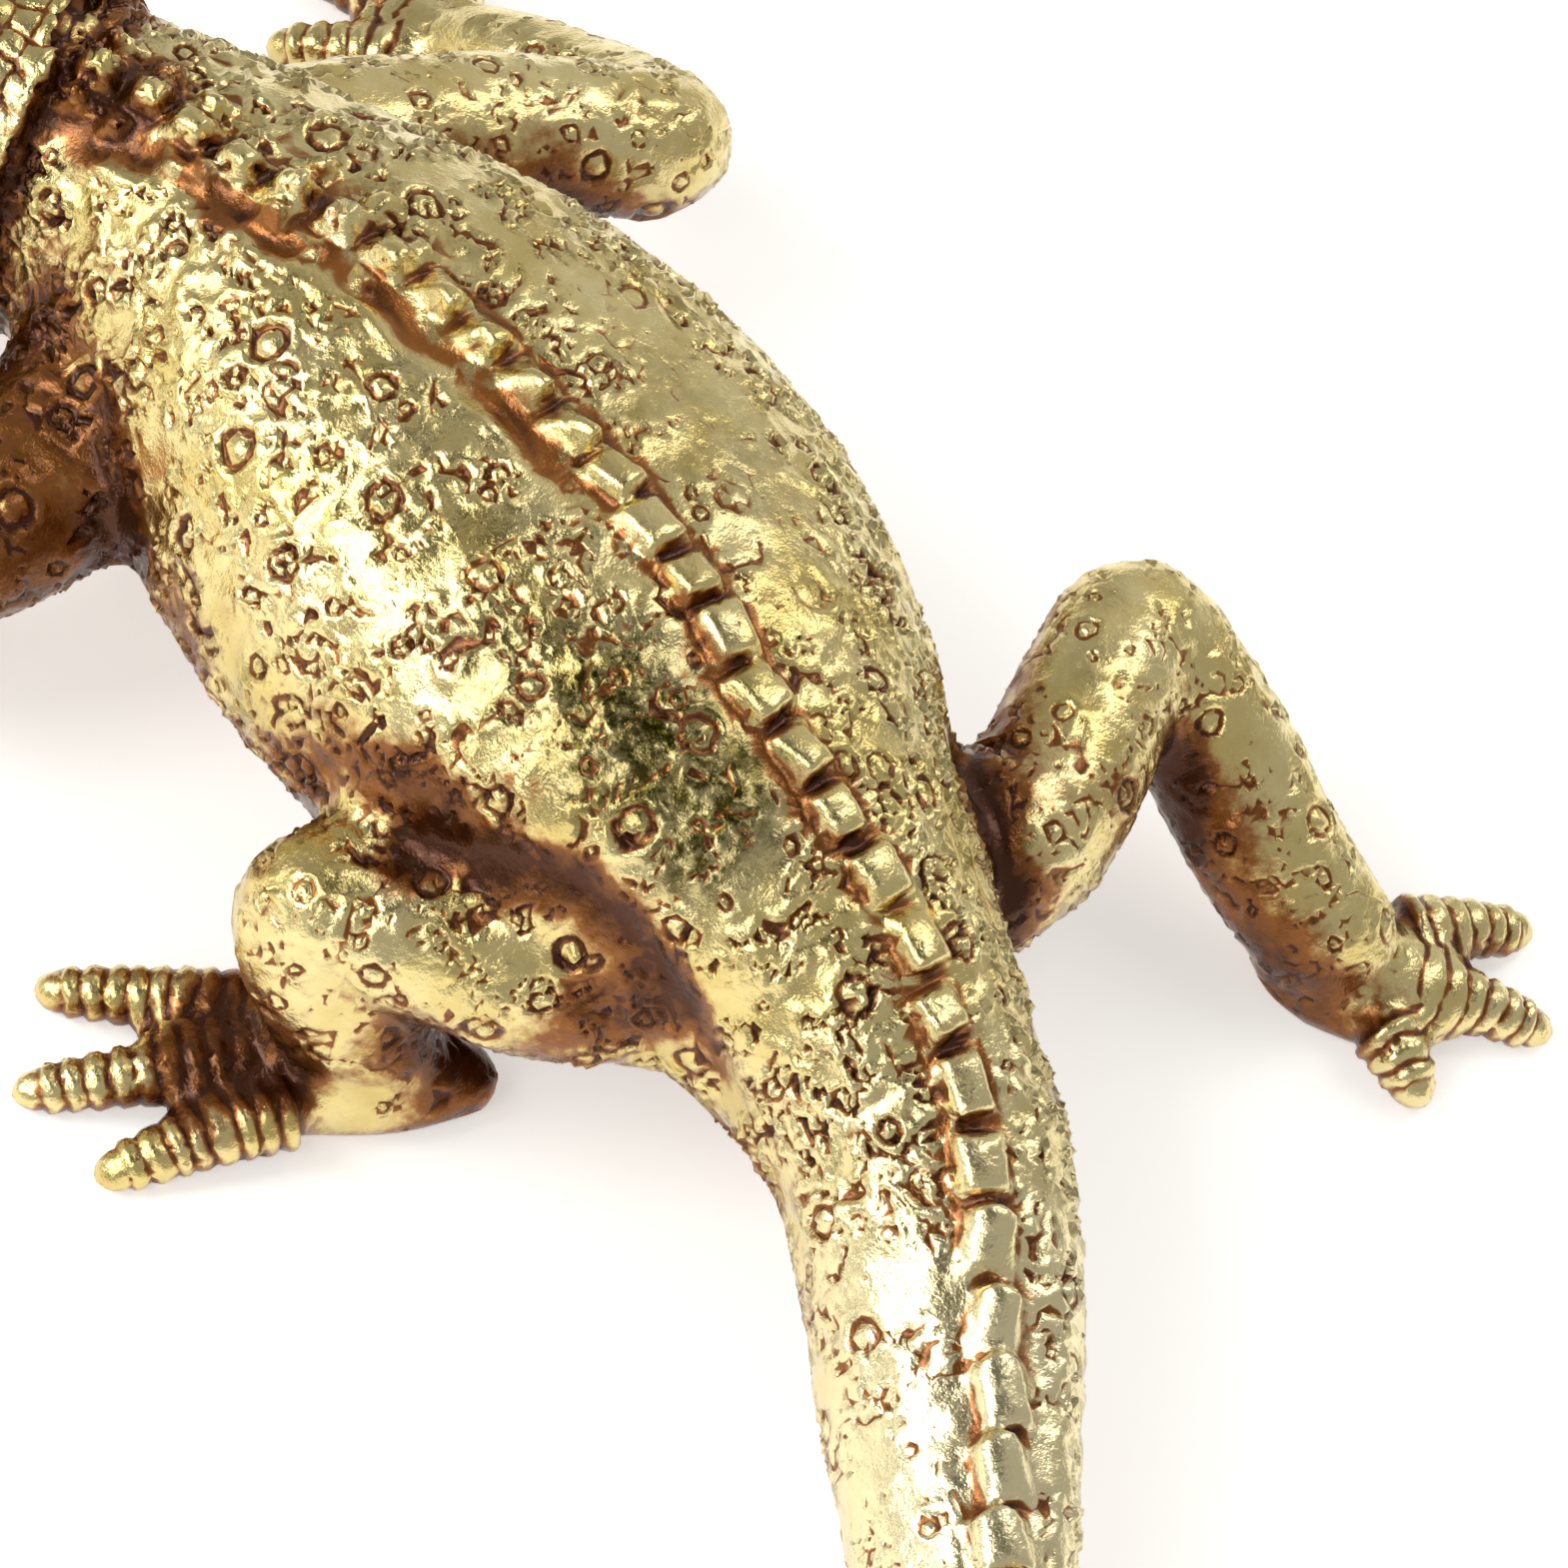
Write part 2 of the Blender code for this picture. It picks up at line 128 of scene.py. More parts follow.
def rub_down(obj, rounds, group=""):
    """Rubs the object smooth, all over or as a group's weights say, and works it into the mesh."""
    rub = obj.modifiers.new("rub", "SMOOTH")
    rub.factor = 0.5
    rub.iterations = rounds
    rub.vertex_group = group
    set_down(obj)


def rows_of(parts, name="co"):
    """One vector for each point of a mesh, as rows: its place, or its normal."""
    rows = np.zeros(len(parts) * 3, np.float32)
    parts.foreach_get(name, rows)
    return rows.reshape(-1, 3)


def move_points(mesh, rows):
    """Puts the mesh's points where the rows say."""
    mesh.vertices.foreach_set("co", np.ascontiguousarray(rows, np.float32).ravel())
    mesh.update()


def keep_field(mesh, name, values):
    """Stores one number for each point of the mesh."""
    field = mesh.attributes.get(name) or mesh.attributes.new(name, "FLOAT", "POINT")
    field.data.foreach_set("value", np.ascontiguousarray(values, np.float32))


def through(at, rows, where):
    """Values on a smooth curve through knot rows, read at the given places."""
    slope = np.gradient(rows, at, axis=0)
    piece = np.clip(np.searchsorted(at, where) - 1, 0, len(at) - 2)
    gap = (at[piece + 1] - at[piece])[:, None]
    t = (where - at[piece])[:, None] / gap
    return ((1 + 2 * t) * (1 - t) ** 2 * rows[piece] + t * (1 - t) ** 2 * gap * slope[piece]
            + t * t * (3 - 2 * t) * rows[piece + 1] + t * t * (t - 1) * gap * slope[piece + 1])


def along_back(count):
    """Place, turn, x, y, and the four sizes of the body at evenly spaced stations, in metres."""
    place = np.linspace(BACKBONE[0, 0], BACKBONE[-1, 0], count)
    rows = through(BACKBONE[:, 0], BACKBONE[:, 1:], place)
    turn = np.radians(rows[:, 0])
    step = np.diff(place, prepend=place[0])
    x = np.cumsum(-np.sin(turn) * step)
    y = np.cumsum(np.cos(turn) * step)
    x += HIPS[0] - np.interp(0, place, x)
    y += HIPS[1] - np.interp(0, place, y)
    sizes = rows[:, 1:] * MM
    sizes[:, 0] += TO_MIDDLE.z
    return place * MM, turn, x * MM + TO_MIDDLE.x, y * MM + TO_MIDDLE.y, sizes


def ridge_sway(place, half):
    """How far the ridge stands to the left of the middle: over the hips, and leaning on the tail."""
    over_hips = HIP_SWAY * np.exp(-(place / (16 * MM) - 0.3) ** 2)
    return over_hips - TAIL_LEAN * half * np.clip((-12 - place / MM) / 18, 0, 1)


def rise(value, start, end):
    """0 at start, 1 at end, easing in and out."""
    t = np.clip((value - start) / (end - start), 0, 1)
    return t * t * (3 - 2 * t)


def on_the_body(spots):
    """For each point: place along the back, distance left of the ridge, angle from the ridge, size
    of the body there, how surely it is on head, trunk or tail, and the height of the plain back."""
    place, turn, x, y, sizes = along_back(COARSE_STATIONS)
    nearest = np.zeros(len(spots), int)
    best = np.full(len(spots), 1e9, np.float32)
    for start in range(0, len(place), 25):
        reach = ((spots[:, None, 0] - x[None, start:start + 25]) ** 2
                 + (spots[:, None, 1] - y[None, start:start + 25]) ** 2)
        here = reach.argmin(1)
        near = reach[np.arange(len(spots)), here]
        closer = near < best
        nearest[closer] = here[closer] + start
        best[closer] = near[closer]
    middle, half, above, below = sizes[nearest].T
    away = spots[:, :2] - np.column_stack([x, y])[nearest]
    left = -away[:, 0] * np.cos(turn[nearest]) - away[:, 1] * np.sin(turn[nearest])
    ahead = -away[:, 0] * np.sin(turn[nearest]) + away[:, 1] * np.cos(turn[nearest])
    up = (spots[:, 2] - middle) / np.where(spots[:, 2] > middle, above, below) * half
    left = left - ridge_sway(place, sizes[:, 1])[nearest] * up / half
    level = (1 - np.clip(np.abs(left) / half, 0, 1) ** (2 / SQUARE)) ** (SQUARE / 2)
    return {"along": place[nearest] + ahead, "left": left, "angle": np.arctan2(left, up),
            "half": half, "above": above, "surely": 1 - rise(np.hypot(left, up) / half, 1.14, 1.40),
            "back_height": middle + above * level}


toe_lines = []
for pad, *tips in FEET.values():
    ahead = (Vector(tips[1]) - Vector(pad)).normalized()
    for tip in tips:
        aside = Vector(tip) - Vector(tips[1])
        aside = (aside - ahead * aside.dot(ahead)).normalized() * TOE_SPREAD
        share = np.linspace(TOE_LINE[0, 0], TOE_LINE[-1, 0], TOE_STEPS)
        lift, thick = through(TOE_LINE[:, 0], TOE_LINE[:, 1:], share).T
        line = [Vector(pad).lerp(Vector(tip), s) + aside * (1 - s) for s in share]
        line = np.column_stack([np.array(line), lift]) * MM + np.array(TO_MIDDLE)
        toe_lines.append((line, thick * TOE_ROOT_RADIUS))


def on_the_toes(spots):
    """For each point: how surely it is on a toe, how far along the toe, and which toe."""
    near, along, which = np.full(len(spots), 9.0), np.zeros(len(spots)), np.zeros(len(spots), int)
    low = np.nonzero(spots[:, 2] < TOES_BELOW)[0]
    for number, (line, thick) in enumerate(toe_lines):
        step = np.diff(line, axis=0)
        length = np.linalg.norm(step, axis=1)
        run = np.concatenate([[0], np.cumsum(length)])
        for k in range(0, TOE_STEPS - 1, 2):
            away = spots[low] - line[k]
            reach = np.linalg.norm(away, axis=1) / thick[k]
            closer = reach < near[low]
            near[low[closer]] = reach[closer]
            along[low[closer]] = run[k] + away[closer] @ (step[k] / length[k])
            which[low[closer]] = number
    return 1 - rise(near, 1.25, 1.7), along, which


solid = bmesh.new()
solid.from_mesh(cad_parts["lizard_figurine"].data)
bmesh.ops.remove_doubles(solid, verts=solid.verts, dist=1e-6)
skin_mesh = bpy.data.meshes.new("lizard_casting")
solid.to_mesh(skin_mesh)
solid.free()
casting = piece_from("lizard_casting", skin_mesh)
new_skin(casting, SKIN_GRAIN)
rub_down(casting, RUB_ALL)

# the ridge is pressed down to the plain back, a little below it where the row of scales will stand,
# and the toes are pared where their rings will stand
spots = rows_of(casting.data.vertices)
body = on_the_body(spots)
row_half = np.minimum(np.interp(body["along"], TAIL_ROOT, [2.1 * MM, 1.6 * MM]), 0.6 * body["half"])
band = 1 - rise(np.abs(body["left"]), row_half + 0.3 * MM, row_half + 1.0 * MM)
band *= (np.abs(body["angle"]) < OVER_THE_BACK) * (body["along"] < 75 * MM) * body["surely"]
trough = TROUGH_DEPTH * np.clip(body["half"] / (6 * MM), 0, 1)
pressed = np.minimum(spots[:, 2], body["back_height"] - trough)
spots[:, 2] = spots[:, 2] * (1 - band) + pressed * band
on_toe = on_the_toes(spots)[0]
# the hood's edge is carved a little further back than on the plain solid
place, turn, x, y, sizes = along_back(STATIONS)
further, here = (np.interp(body["along"] + back, place, sizes[:, 1]) for back in (HOOD_BACK, 0))
behind_hood = (body["along"] > 70 * MM) * (1 - rise(body["along"] / MM, 76.5, 79))
hood = np.maximum(further - here, 0) * body["surely"] * behind_hood
spots += rows_of(casting.data.vertex_normals, "vector") * (hood - TOE_PARE * on_toe)[:, None]
move_points(casting.data, spots)

broad = casting.vertex_groups.new(name="broad")
weight = np.clip(body["half"] / (8 * MM), 0.1, 1)
weight = body["surely"] * (1 - rise(body["along"], 71 * MM, 74 * MM)) * weight
for level in np.arange(1, 11):
    broad.add(np.nonzero(np.round(weight * 10) == level)[0].tolist(), level / 10, "REPLACE")
rub_down(casting, RUB_BODY, broad.name)
casting.vertex_groups.clear()

# The row of raised scales from the nape to the tail tip: blocks of the casting itself, lumpy behind
# the head, leaning like tent roofs over the shoulders, squared plates over the hips, and broad
# overlapping shingles on the tail. They were cut one by one in the wax before it was moulded.
SCALE_PITCH = 4.1 * MM
SCALE_WIDTH = 2.9 * MM
TAIL_PITCH = 4.5 * MM
TAIL_WIDTH = 3.1 * MM
SCALE_HEIGHT = 1.6 * MM
SCALE_GAP = 0.80 * MM
SCALE_ROOT = 1.2 * MM
NAPE = 74 * MM
TAIL_END = -128 * MM
HAND_SWAY = 0.30 * MM
HAND_TURN = 0.24
HAND_TIP = 0.15
HAND_SIZES = (0.86, 1.12)
SIDE_LUMPS = (1.7 * MM, 3.1 * MM)
# The row wanders off the middle of the back: places along it, and how far to the left, in millimetres
ROW_WANDER = np.array([(-60, 0), (-35, 0.6), (-22, 0.2), (-14, -0.5), (-5, -1.2), (2, -0.7), (10, 0),
                       (19, 0.1), (28, 0.9), (37, 1.2), (50, 2.2), (60, 2.8), (70, 2.4), (76, 1.5)])
# Zones: from and to, in millimetres along the back; shares of height, length and gap; and the form of
# a scale: shares of length and width left at the top, lean, tilt, bow, where its shoulder starts, and
# how far its sides fall
FORM = ("top_length", "top_width", "lean", "tilt", "bow", "shoulder", "crown")
ZONES = {
    "shingles": ((-137, -20), (0.54, 1.00, 0.55), (0.92, 0.82, 0.00, -0.38, -0.34, 0.55, 0.60)),
    "plates": ((-20, 28), (0.66, 1.00, 1.00), (0.80, 0.78, 0.05, 0.22, 0.00, 0.62, 0.22)),
    "tents": ((28, 46), (0.95, 1.05, 1.00), (0.52, 0.20, 0.42, 0.45, 0.10, 0.46, 0.30)),
    "lumps": ((46, 77), (1.10, 1.06, 1.00), (0.50, 0.46, 0.12, 0.24, 0.08, 0.42, 0.45)),
}


def add(tree, kind, feeds=(), **settings):
    """Adds a node with its settings; feeds go to its inputs by name or in order, as links or values.
    A map range takes them in order: the value, from which two levels, and to which two."""
    made = tree.nodes.new(kind)
    for name, value in settings.items():
        setattr(made, name, value)
    for key, value in (feeds.items() if isinstance(feeds, dict) else enumerate(feeds)):
        if isinstance(value, bpy.types.Node):
            value = value.outputs[0]
        if isinstance(value, bpy.types.NodeSocket):
            tree.links.new(value, made.inputs[key])
        elif value is not None:
            made.inputs[key].default_value = value
    return made


def node_group(name, **sizes):
    """An empty node tree from geometry to geometry, its named inputs, one for each size, and its end."""
    tree = bpy.data.node_groups.new(name, "GeometryNodeTree")
    tree.interface.new_socket("Geometry", in_out="INPUT", socket_type="NodeSocketGeometry")
    tree.interface.new_socket("Geometry", in_out="OUTPUT", socket_type="NodeSocketGeometry")
    for title, value in sizes.items():
        kind = {int: "NodeSocketInt", float: "NodeSocketFloat"}.get(type(value), "NodeSocketMaterial")
        made = tree.interface.new_socket(title, in_out="INPUT", socket_type=kind)
        if value is not None:
            made.default_value = value
    return tree, tree.nodes.new("NodeGroupInput").outputs, tree.nodes.new("NodeGroupOutput")


def end_tree(tree, flow, finish, made_out):
    """Makes the tree's copies real and gives them their finish."""
    real = add(tree, "GeometryNodeRealizeInstances", [flow])
    painted = add(tree, "GeometryNodeSetMaterial", {"Geometry": real, "Material": finish})
    tree.links.new(painted.outputs[0], made_out.inputs[0])


def stand_each(tree, form, spots):
    """Stands a form on each spot, turned and sized as the spot says."""
    turned = add(tree, "GeometryNodeInputNamedAttribute", {"Name": "turned"}, data_type="QUATERNION")
    sized = add(tree, "GeometryNodeInputNamedAttribute", {"Name": "sized"}, data_type="FLOAT_VECTOR")
    return add(tree, "GeometryNodeInstanceOnPoints",
               {"Points": spots, "Instance": form, "Rotation": turned, "Scale": sized})


def run_nodes(obj, tree, **sizes):
    """Sets a tree on an object, with its sizes by the sockets' identifiers."""
    worked = obj.modifiers.new(tree.name, "NODES")
    worked.node_group = tree
    for item in tree.interface.items_tree:
        if item.in_out == "INPUT" and item.name in sizes:
            worked[item.identifier] = sizes[item.name]
    return worked


def row_wander(place):
    """How far the row of scales stands to the left of the middle of the back."""
    return np.interp(place, ROW_WANDER[:, 0] * MM, ROW_WANDER[:, 1] * MM)


gold = bpy.data.materials.new("antique_gold_lacquer_over_umber_wash")

stations = {zone: [] for zone in ZONES}
middle, half, above = sizes.T[:3]
sway = ridge_sway(place, half)
hand = np.random.default_rng(4)
at = NAPE - 2 * MM
while at > TAIL_END:
    pitch = np.interp(at, TAIL_ROOT, [TAIL_PITCH, SCALE_PITCH])
    pitch *= min(1.0, 0.35 + np.interp(at, place, half) / TAIL_PITCH / 2)
    n = int(np.interp(at, place, np.arange(STATIONS)))
    wide = min(np.interp(at, TAIL_ROOT, [TAIL_WIDTH, SCALE_WIDTH]), 1.2 * half[n]) / 2
    tall = min(SCALE_HEIGHT, 0.45 * above[n])
    top = middle + above
    slope = math.atan2(top[n + 1] - top[n - 1], place[n + 1] - place[n - 1])
    aside = float(row_wander(at))
    fall = above[n] * (1 - (1 - (abs(aside) / half[n]) ** 2.13) ** 0.47)
    swing, tip, roll = hand.uniform(-1, 1, 3) * (HAND_TURN, HAND_TIP, HAND_TIP)
    leaning = roll - aside * above[n] / half[n] ** 2
    spot = (Matrix.Translation((x[n], y[n], top[n] - fall)) @ Matrix.Rotation(turn[n], 4, "Z")
            @ Matrix.Translation((hand.uniform(-1, 1) * HAND_SWAY - sway[n] - aside, 0, 0))
            @ Matrix.Rotation(slope + tip, 4, "X") @ Matrix.Rotation(leaning, 4, "Y")
            @ Matrix.Rotation(swing, 4, "Z"))
    zone = next(name for name, (span, *_) in ZONES.items() if span[0] * MM <= at < span[1] * MM)
    tall_share, length_share, gap_share = ZONES[zone][1]
    wider, longer, taller = hand.uniform(*HAND_SIZES, 3)
    long = (pitch - SCALE_GAP * gap_share) / 2 * longer * length_share
    block_size = (wide * wider, long, tall * tall_share * taller)
    stations[zone].append((spot, block_size))
    if zone == "lumps":
        for side in (-1, 1):
            shift = (side * hand.uniform(*SIDE_LUMPS), hand.uniform(-1.2, 1.2) * MM, -0.3 * MM)
            smaller = hand.uniform(0.5, 0.8)
            size = tuple(v * smaller for v in block_size)
            stations[zone].append((spot @ Matrix.Translation(shift), size))
    at -= pitch

# one scale is a block with a sloping, rounded top; the tree stands one on each station
scales, given, made_out = node_group(
    "row_of_raised_scales", top_length=0.7, top_width=0.7, lean=0.2, tilt=0.1, bow=0.1, root=0.8,
    shoulder=0.6, crown=0.22, finish=None)
block = add(scales, "GeometryNodeMeshCube", {"Size": (2, 2, 1), "Vertices X": 6, "Vertices Y": 6,
                                             "Vertices Z": 6})
where = add(scales, "ShaderNodeSeparateXYZ", [add(scales, "GeometryNodeInputPosition")])
height = add(scales, "ShaderNodeMath", [where.outputs[2], 0.5], operation="ADD")
shoulder = add(scales, "ShaderNodeMapRange", [height, given["shoulder"]])
narrowed = []
for axis, top_share in enumerate(("top_width", "top_length")):
    share = add(scales, "ShaderNodeMapRange", [shoulder, 0.0, 1.0, 1.0, given[top_share]])
    narrowed.append(add(scales, "ShaderNodeMath", [where.outputs[axis], share], operation="MULTIPLY"))
side, front = narrowed
back = add(scales, "ShaderNodeMath", [shoulder, given["lean"]], operation="MULTIPLY")
front = add(scales, "ShaderNodeMath", [front, back], operation="SUBTRACT")
span = add(scales, "ShaderNodeMath", [given["root"], 1.0], operation="ADD")
up = add(scales, "ShaderNodeMath", [height, span], operation="MULTIPLY")
up = add(scales, "ShaderNodeMath", [up, given["root"]], operation="SUBTRACT")
# the top stands higher at its back edge, and falls off towards its sides
tilted = add(scales, "ShaderNodeMath", [shoulder, front], operation="MULTIPLY")
tilted = add(scales, "ShaderNodeMath", [tilted, given["tilt"]], operation="MULTIPLY")
up = add(scales, "ShaderNodeMath", [up, tilted], operation="SUBTRACT")
round_off = add(scales, "ShaderNodeMath", [side, side], operation="MULTIPLY")
bowed = add(scales, "ShaderNodeMath", [round_off, given["bow"], front], operation="MULTIPLY_ADD")
round_off = add(scales, "ShaderNodeMath", [round_off, shoulder], operation="MULTIPLY")
fallen = add(scales, "ShaderNodeMath", [round_off, given["crown"]], operation="MULTIPLY")
up = add(scales, "ShaderNodeMath", [up, fallen], operation="SUBTRACT")
shaped = add(scales, "GeometryNodeSetPosition",
             {"Geometry": block.outputs["Mesh"],
              "Position": add(scales, "ShaderNodeCombineXYZ", [side, bowed, up])})
end_tree(scales, stand_each(scales, shaped, given["Geometry"]), given["finish"], made_out)


def stood_on(name, spots, tree, **sizes):
    """A plain mesh from a tree that stands a form on each spot: a place, and its half sizes."""
    mesh = bpy.data.meshes.new(name)
    mesh.from_pydata([spot.to_translation() for spot, size in spots], [], [])
    turned = mesh.attributes.new("turned", "QUATERNION", "POINT")
    turned.data.foreach_set("value", np.ravel([list(spot.to_quaternion()) for spot, size in spots]))
    sized = mesh.attributes.new("sized", "FLOAT_VECTOR", "POINT")
    sized.data.foreach_set("vector", np.ravel([size for spot, size in spots]))
    made = piece_from(name, mesh)
    run_nodes(made, tree, finish=gold, **sizes)
    set_down(made)
    return made


root_share = SCALE_ROOT / SCALE_HEIGHT
rows_of_scales = [stood_on(zone, stations[zone], scales, root=root_share, **dict(zip(FORM, form)))
                  for zone, (*_, form) in ZONES.items()]

# The ringed toes: three on each foot, with a ring of skin every millimetre and a half and a smooth
# blunt tip. The rings are part of the casting too, cut in the wax as fine grooves round the toe.
RING_PITCH = 1.42 * MM
RING_PROUD = 0.01 * MM
RING_OVERLAP = 0.80
RING_REACH = 0.10
RING_UNEVEN = (0.88, 1.12)
BARE_TIP = 2.9 * MM
GROOVE_DEPTH = 0.19 * MM
GROOVE_WIDTH = 0.23 * MM

rings, given, made_out = node_group("rings_of_a_toe", finish=None)
bead = add(rings, "GeometryNodeMeshUVSphere", {"Segments": 20, "Rings": 12, "Radius": 1.0})
end_tree(rings, stand_each(rings, bead, given["Geometry"]), given["finish"], made_out)

ring_spots = []
grooves = []
for line, thick in toe_lines:
    run = np.concatenate([[0], np.cumsum(np.linalg.norm(np.diff(line, axis=0), axis=1))])
    step = run[-1] - BARE_TIP
    grooves.append([step + 0.5 * RING_PITCH])
    while step > run[-1] * RING_REACH:
        centre = Vector([np.interp(step, run, line[:, k]) for k in range(3)])
        ahead = Vector([np.interp(step + 0.5 * MM, run, line[:, k]) for k in range(3)])
        radius = np.interp(step, run, thick) + RING_PROUD
        spot = Matrix.Translation(centre) @ (ahead - centre).to_track_quat("Z", "Y").to_matrix().to_4x4()
        ring_spots.append((spot, (radius, radius, RING_PITCH * RING_OVERLAP)))
        step -= RING_PITCH * hand.uniform(*RING_UNEVEN)
        grooves[-1].append(step + 0.5 * RING_PITCH)
toe_rings = stood_on("toe_rings", ring_spots, rings)

# The carving: everything is one casting, so the scales and rings are grown into the skin, and then
# the skin gets its ring-shaped scales, creases, pebbles and pits, cut in the wax with small tools.
CARVED_GRAIN = 0.34 * MM
RUB_CARVED = 2
KEPT_TRIANGLES = 196000
LIP_HEIGHT, CHANNEL_DEPTH = 0.34 * MM, 0.46 * MM
# the eyes: how far along the head, share of its half width and of its height, and the sizes of the
# groove and the lid round each
EYE_PLACE, EYE_SHARE, EYE_RISE = 96.5 * MM, 0.78, 0.5
EYE_GROOVE, LID_MIDDLE, LID_WIDTH, LID_HEIGHT = 2.1 * MM, 2.8 * MM, 0.45 * MM, 0.30 * MM
# the folds where the thighs and the right shoulder join the trunk: places along each in millimetres,
# half width, and depth
FOLDS = [
    ([(-17.5, 22.5, 22.0), (-14.3, 18.3, 24.5), (-12.4, 14.9, 25.4), (-10.5, 11.8, 24.5), (-9.2, 8.5, 22.6),
      (-8.0, 5.2, 20.0), (-7.6, 3.0, 17.0)], 2.0, 0.80),
    ([(17.5, 12.5, 22.0), (17.3, 9.0, 22.0), (16.3, 5.5, 20.5), (15.5, 2.0, 17.5)], 1.4, 0.80),
    ([(4.0, 66.5, 33.0), (8.0, 64.0, 32.0), (13.0, 61.0, 28.0)], 1.3, 0.50),
]
FOLD_REACH = 16 * MM

with_all = bmesh.new()
for part in [casting, toe_rings, *rows_of_scales]:
    with_all.from_mesh(part.data)
with_all.to_mesh(casting.data)
with_all.free()
for part in [toe_rings, *rows_of_scales]:
    bpy.data.objects.remove(part)
new_skin(casting, CARVED_GRAIN)
rub_down(casting, RUB_CARVED)

spots = rows_of(casting.data.vertices)
body = on_the_body(spots)
s = body["along"] / MM
angle, surely = body["angle"], body["surely"]
around = angle * (body["half"] + body["above"]) / 2
from_row = (body["left"] - row_wander(body["along"])) / MM
on_toe, toe_run, toe = on_the_toes(spots)
wobble = 0.14 * MM * (np.sin(spots[:, 2] / (0.8 * MM)) + np.sin(spots[:, 0] / (0.6 * MM)))
to_groove = np.full(len(spots), 1.0)
for number, places_of in enumerate(grooves):
    here = toe == number
    gaps = np.abs(toe_run[here, None] + wobble[here, None] - np.array(places_of)[None])
    to_groove[here] = gaps.min(1)
toe_groove = np.exp(-(to_groove / GROOVE_WIDTH) ** 2) * on_toe
on_row = 1 - rise(np.abs(from_row), 1.9, 2.6)
over_the_back = surely * (np.abs(angle) < OVER_THE_BACK)
on_row *= over_the_back * (s < 74)
on_sole = 1 - rise(spots[:, 2], 0.4 * MM, 1.8 * MM)
on_head = surely * rise(s, 74.2, 75.4)
limb = 1 - surely
far_side = surely * rise(-angle, 0.15, 0.35) * (1 - on_head)
smooth = far_side * (1 - rise(-angle, 0.40, 0.60)) * rise(s, 8, 18) * (1 - rise(s, 36, 47))
# the eyes: a smooth ball under the brow, in a groove inside a raised lid, with no tiles over it
place, turn, x, y, sizes = along_back(COARSE_STATIONS)
heading = np.interp(EYE_PLACE, place, turn)
middle, half, above = (np.interp(EYE_PLACE, place, sizes[:, k]) for k in range(3))
eye_groove, lid, at_eye = np.zeros((3, len(spots)))
for side in (-1, 1):
    out = np.array([side * np.cos(heading), side * np.sin(heading), 0.35])
    eye = np.array([*(np.interp(EYE_PLACE, place, way) for way in (x, y)), middle + EYE_RISE * above])
    eye[:2] += out[:2] * EYE_SHARE * half
    out /= np.linalg.norm(out)
    away = spots - eye
    outward = away @ out
    from_axis = np.linalg.norm(away - outward[:, None] * out, axis=1)
    outside = rise(outward, -0.5 * MM, 1.0 * MM)
    eye_groove += np.exp(-((from_axis - EYE_GROOVE) / (0.8 * GROOVE_WIDTH)) ** 2) * outside
    lid += np.exp(-((from_axis - LID_MIDDLE) / LID_WIDTH) ** 2) * outside
    at_eye += (1 - rise(from_axis, 3.0 * MM, 3.8 * MM)) * outside
tiled = on_head * (1 - rise(np.abs(angle), 1.1, 1.35)) * (1 - rise(s, 98, 104)) * (1 - at_eye)
channel_share = rise(s, 22, 30) * (1 - rise(s, 69, 74)) * over_the_back
sway = from_row + 0.32 * np.sin(s / 2.3) + 0.22 * np.sin(s / 0.9 + 2)
in_channel = channel_share * rise(sway, 1.6, 2.2) * (1 - rise(sway, 4.2, 4.8))
in_fold, fold_depth = np.zeros((2, len(spots)))
for knots, half_width, depth_here in FOLDS:
    knots = np.array(knots) * MM
    line = through(np.arange(float(len(knots))), knots, np.linspace(0, len(knots) - 1, 48))
    near = np.full(len(spots), 1.0)
    close = np.nonzero(np.linalg.norm(spots - knots.mean(0), axis=1) < FOLD_REACH)[0]
    for point in line:
        near[close] = np.minimum(near[close], np.linalg.norm(spots[close] - point, axis=1))
    fold_here = np.exp(-(near / (half_width * MM)) ** 2)
    in_fold = np.maximum(in_fold, fold_here)
    fold_depth = np.maximum(fold_depth, fold_here * depth_here * MM)
# how much of each kind of relief a spot has: the row, the toes, the folds and the soles stay calmer
calm = (1 - 0.85 * in_channel) * (1 - 0.85 * in_fold)
plain = np.clip(1 - on_toe - on_row - on_sole, 0, 1) * calm
worn = np.clip(1 - 0.5 * on_toe - (0.45 + 0.25 * (s < 46)) * on_row - on_sole, 0, 1) * calm
soft_tail = surely * (1 - rise(s, -32, -14))
busy = surely * (rise(s, 46, 58) + rise(s, -24, -14) * (1 - rise(s, -4, 6)))
ring_share = plain * (1 - on_head) * (1 - 0.85 * smooth) * (1 - 0.25 * limb) * (1 - 0.35 * soft_tail)
crease_share = worn * (1 - on_head) * (1 - 0.75 * smooth) * (1 + 0.2 * far_side)
crease_share *= (1 - 0.45 * limb) * (1 + 0.35 * busy) * (1 - 0.40 * soft_tail)
pebble_share = plain * (0.45 + 0.55 * on_head) * (1 - 0.85 * tiled) * (1 - 0.8 * at_eye)
groove = np.maximum(toe_groove, eye_groove)

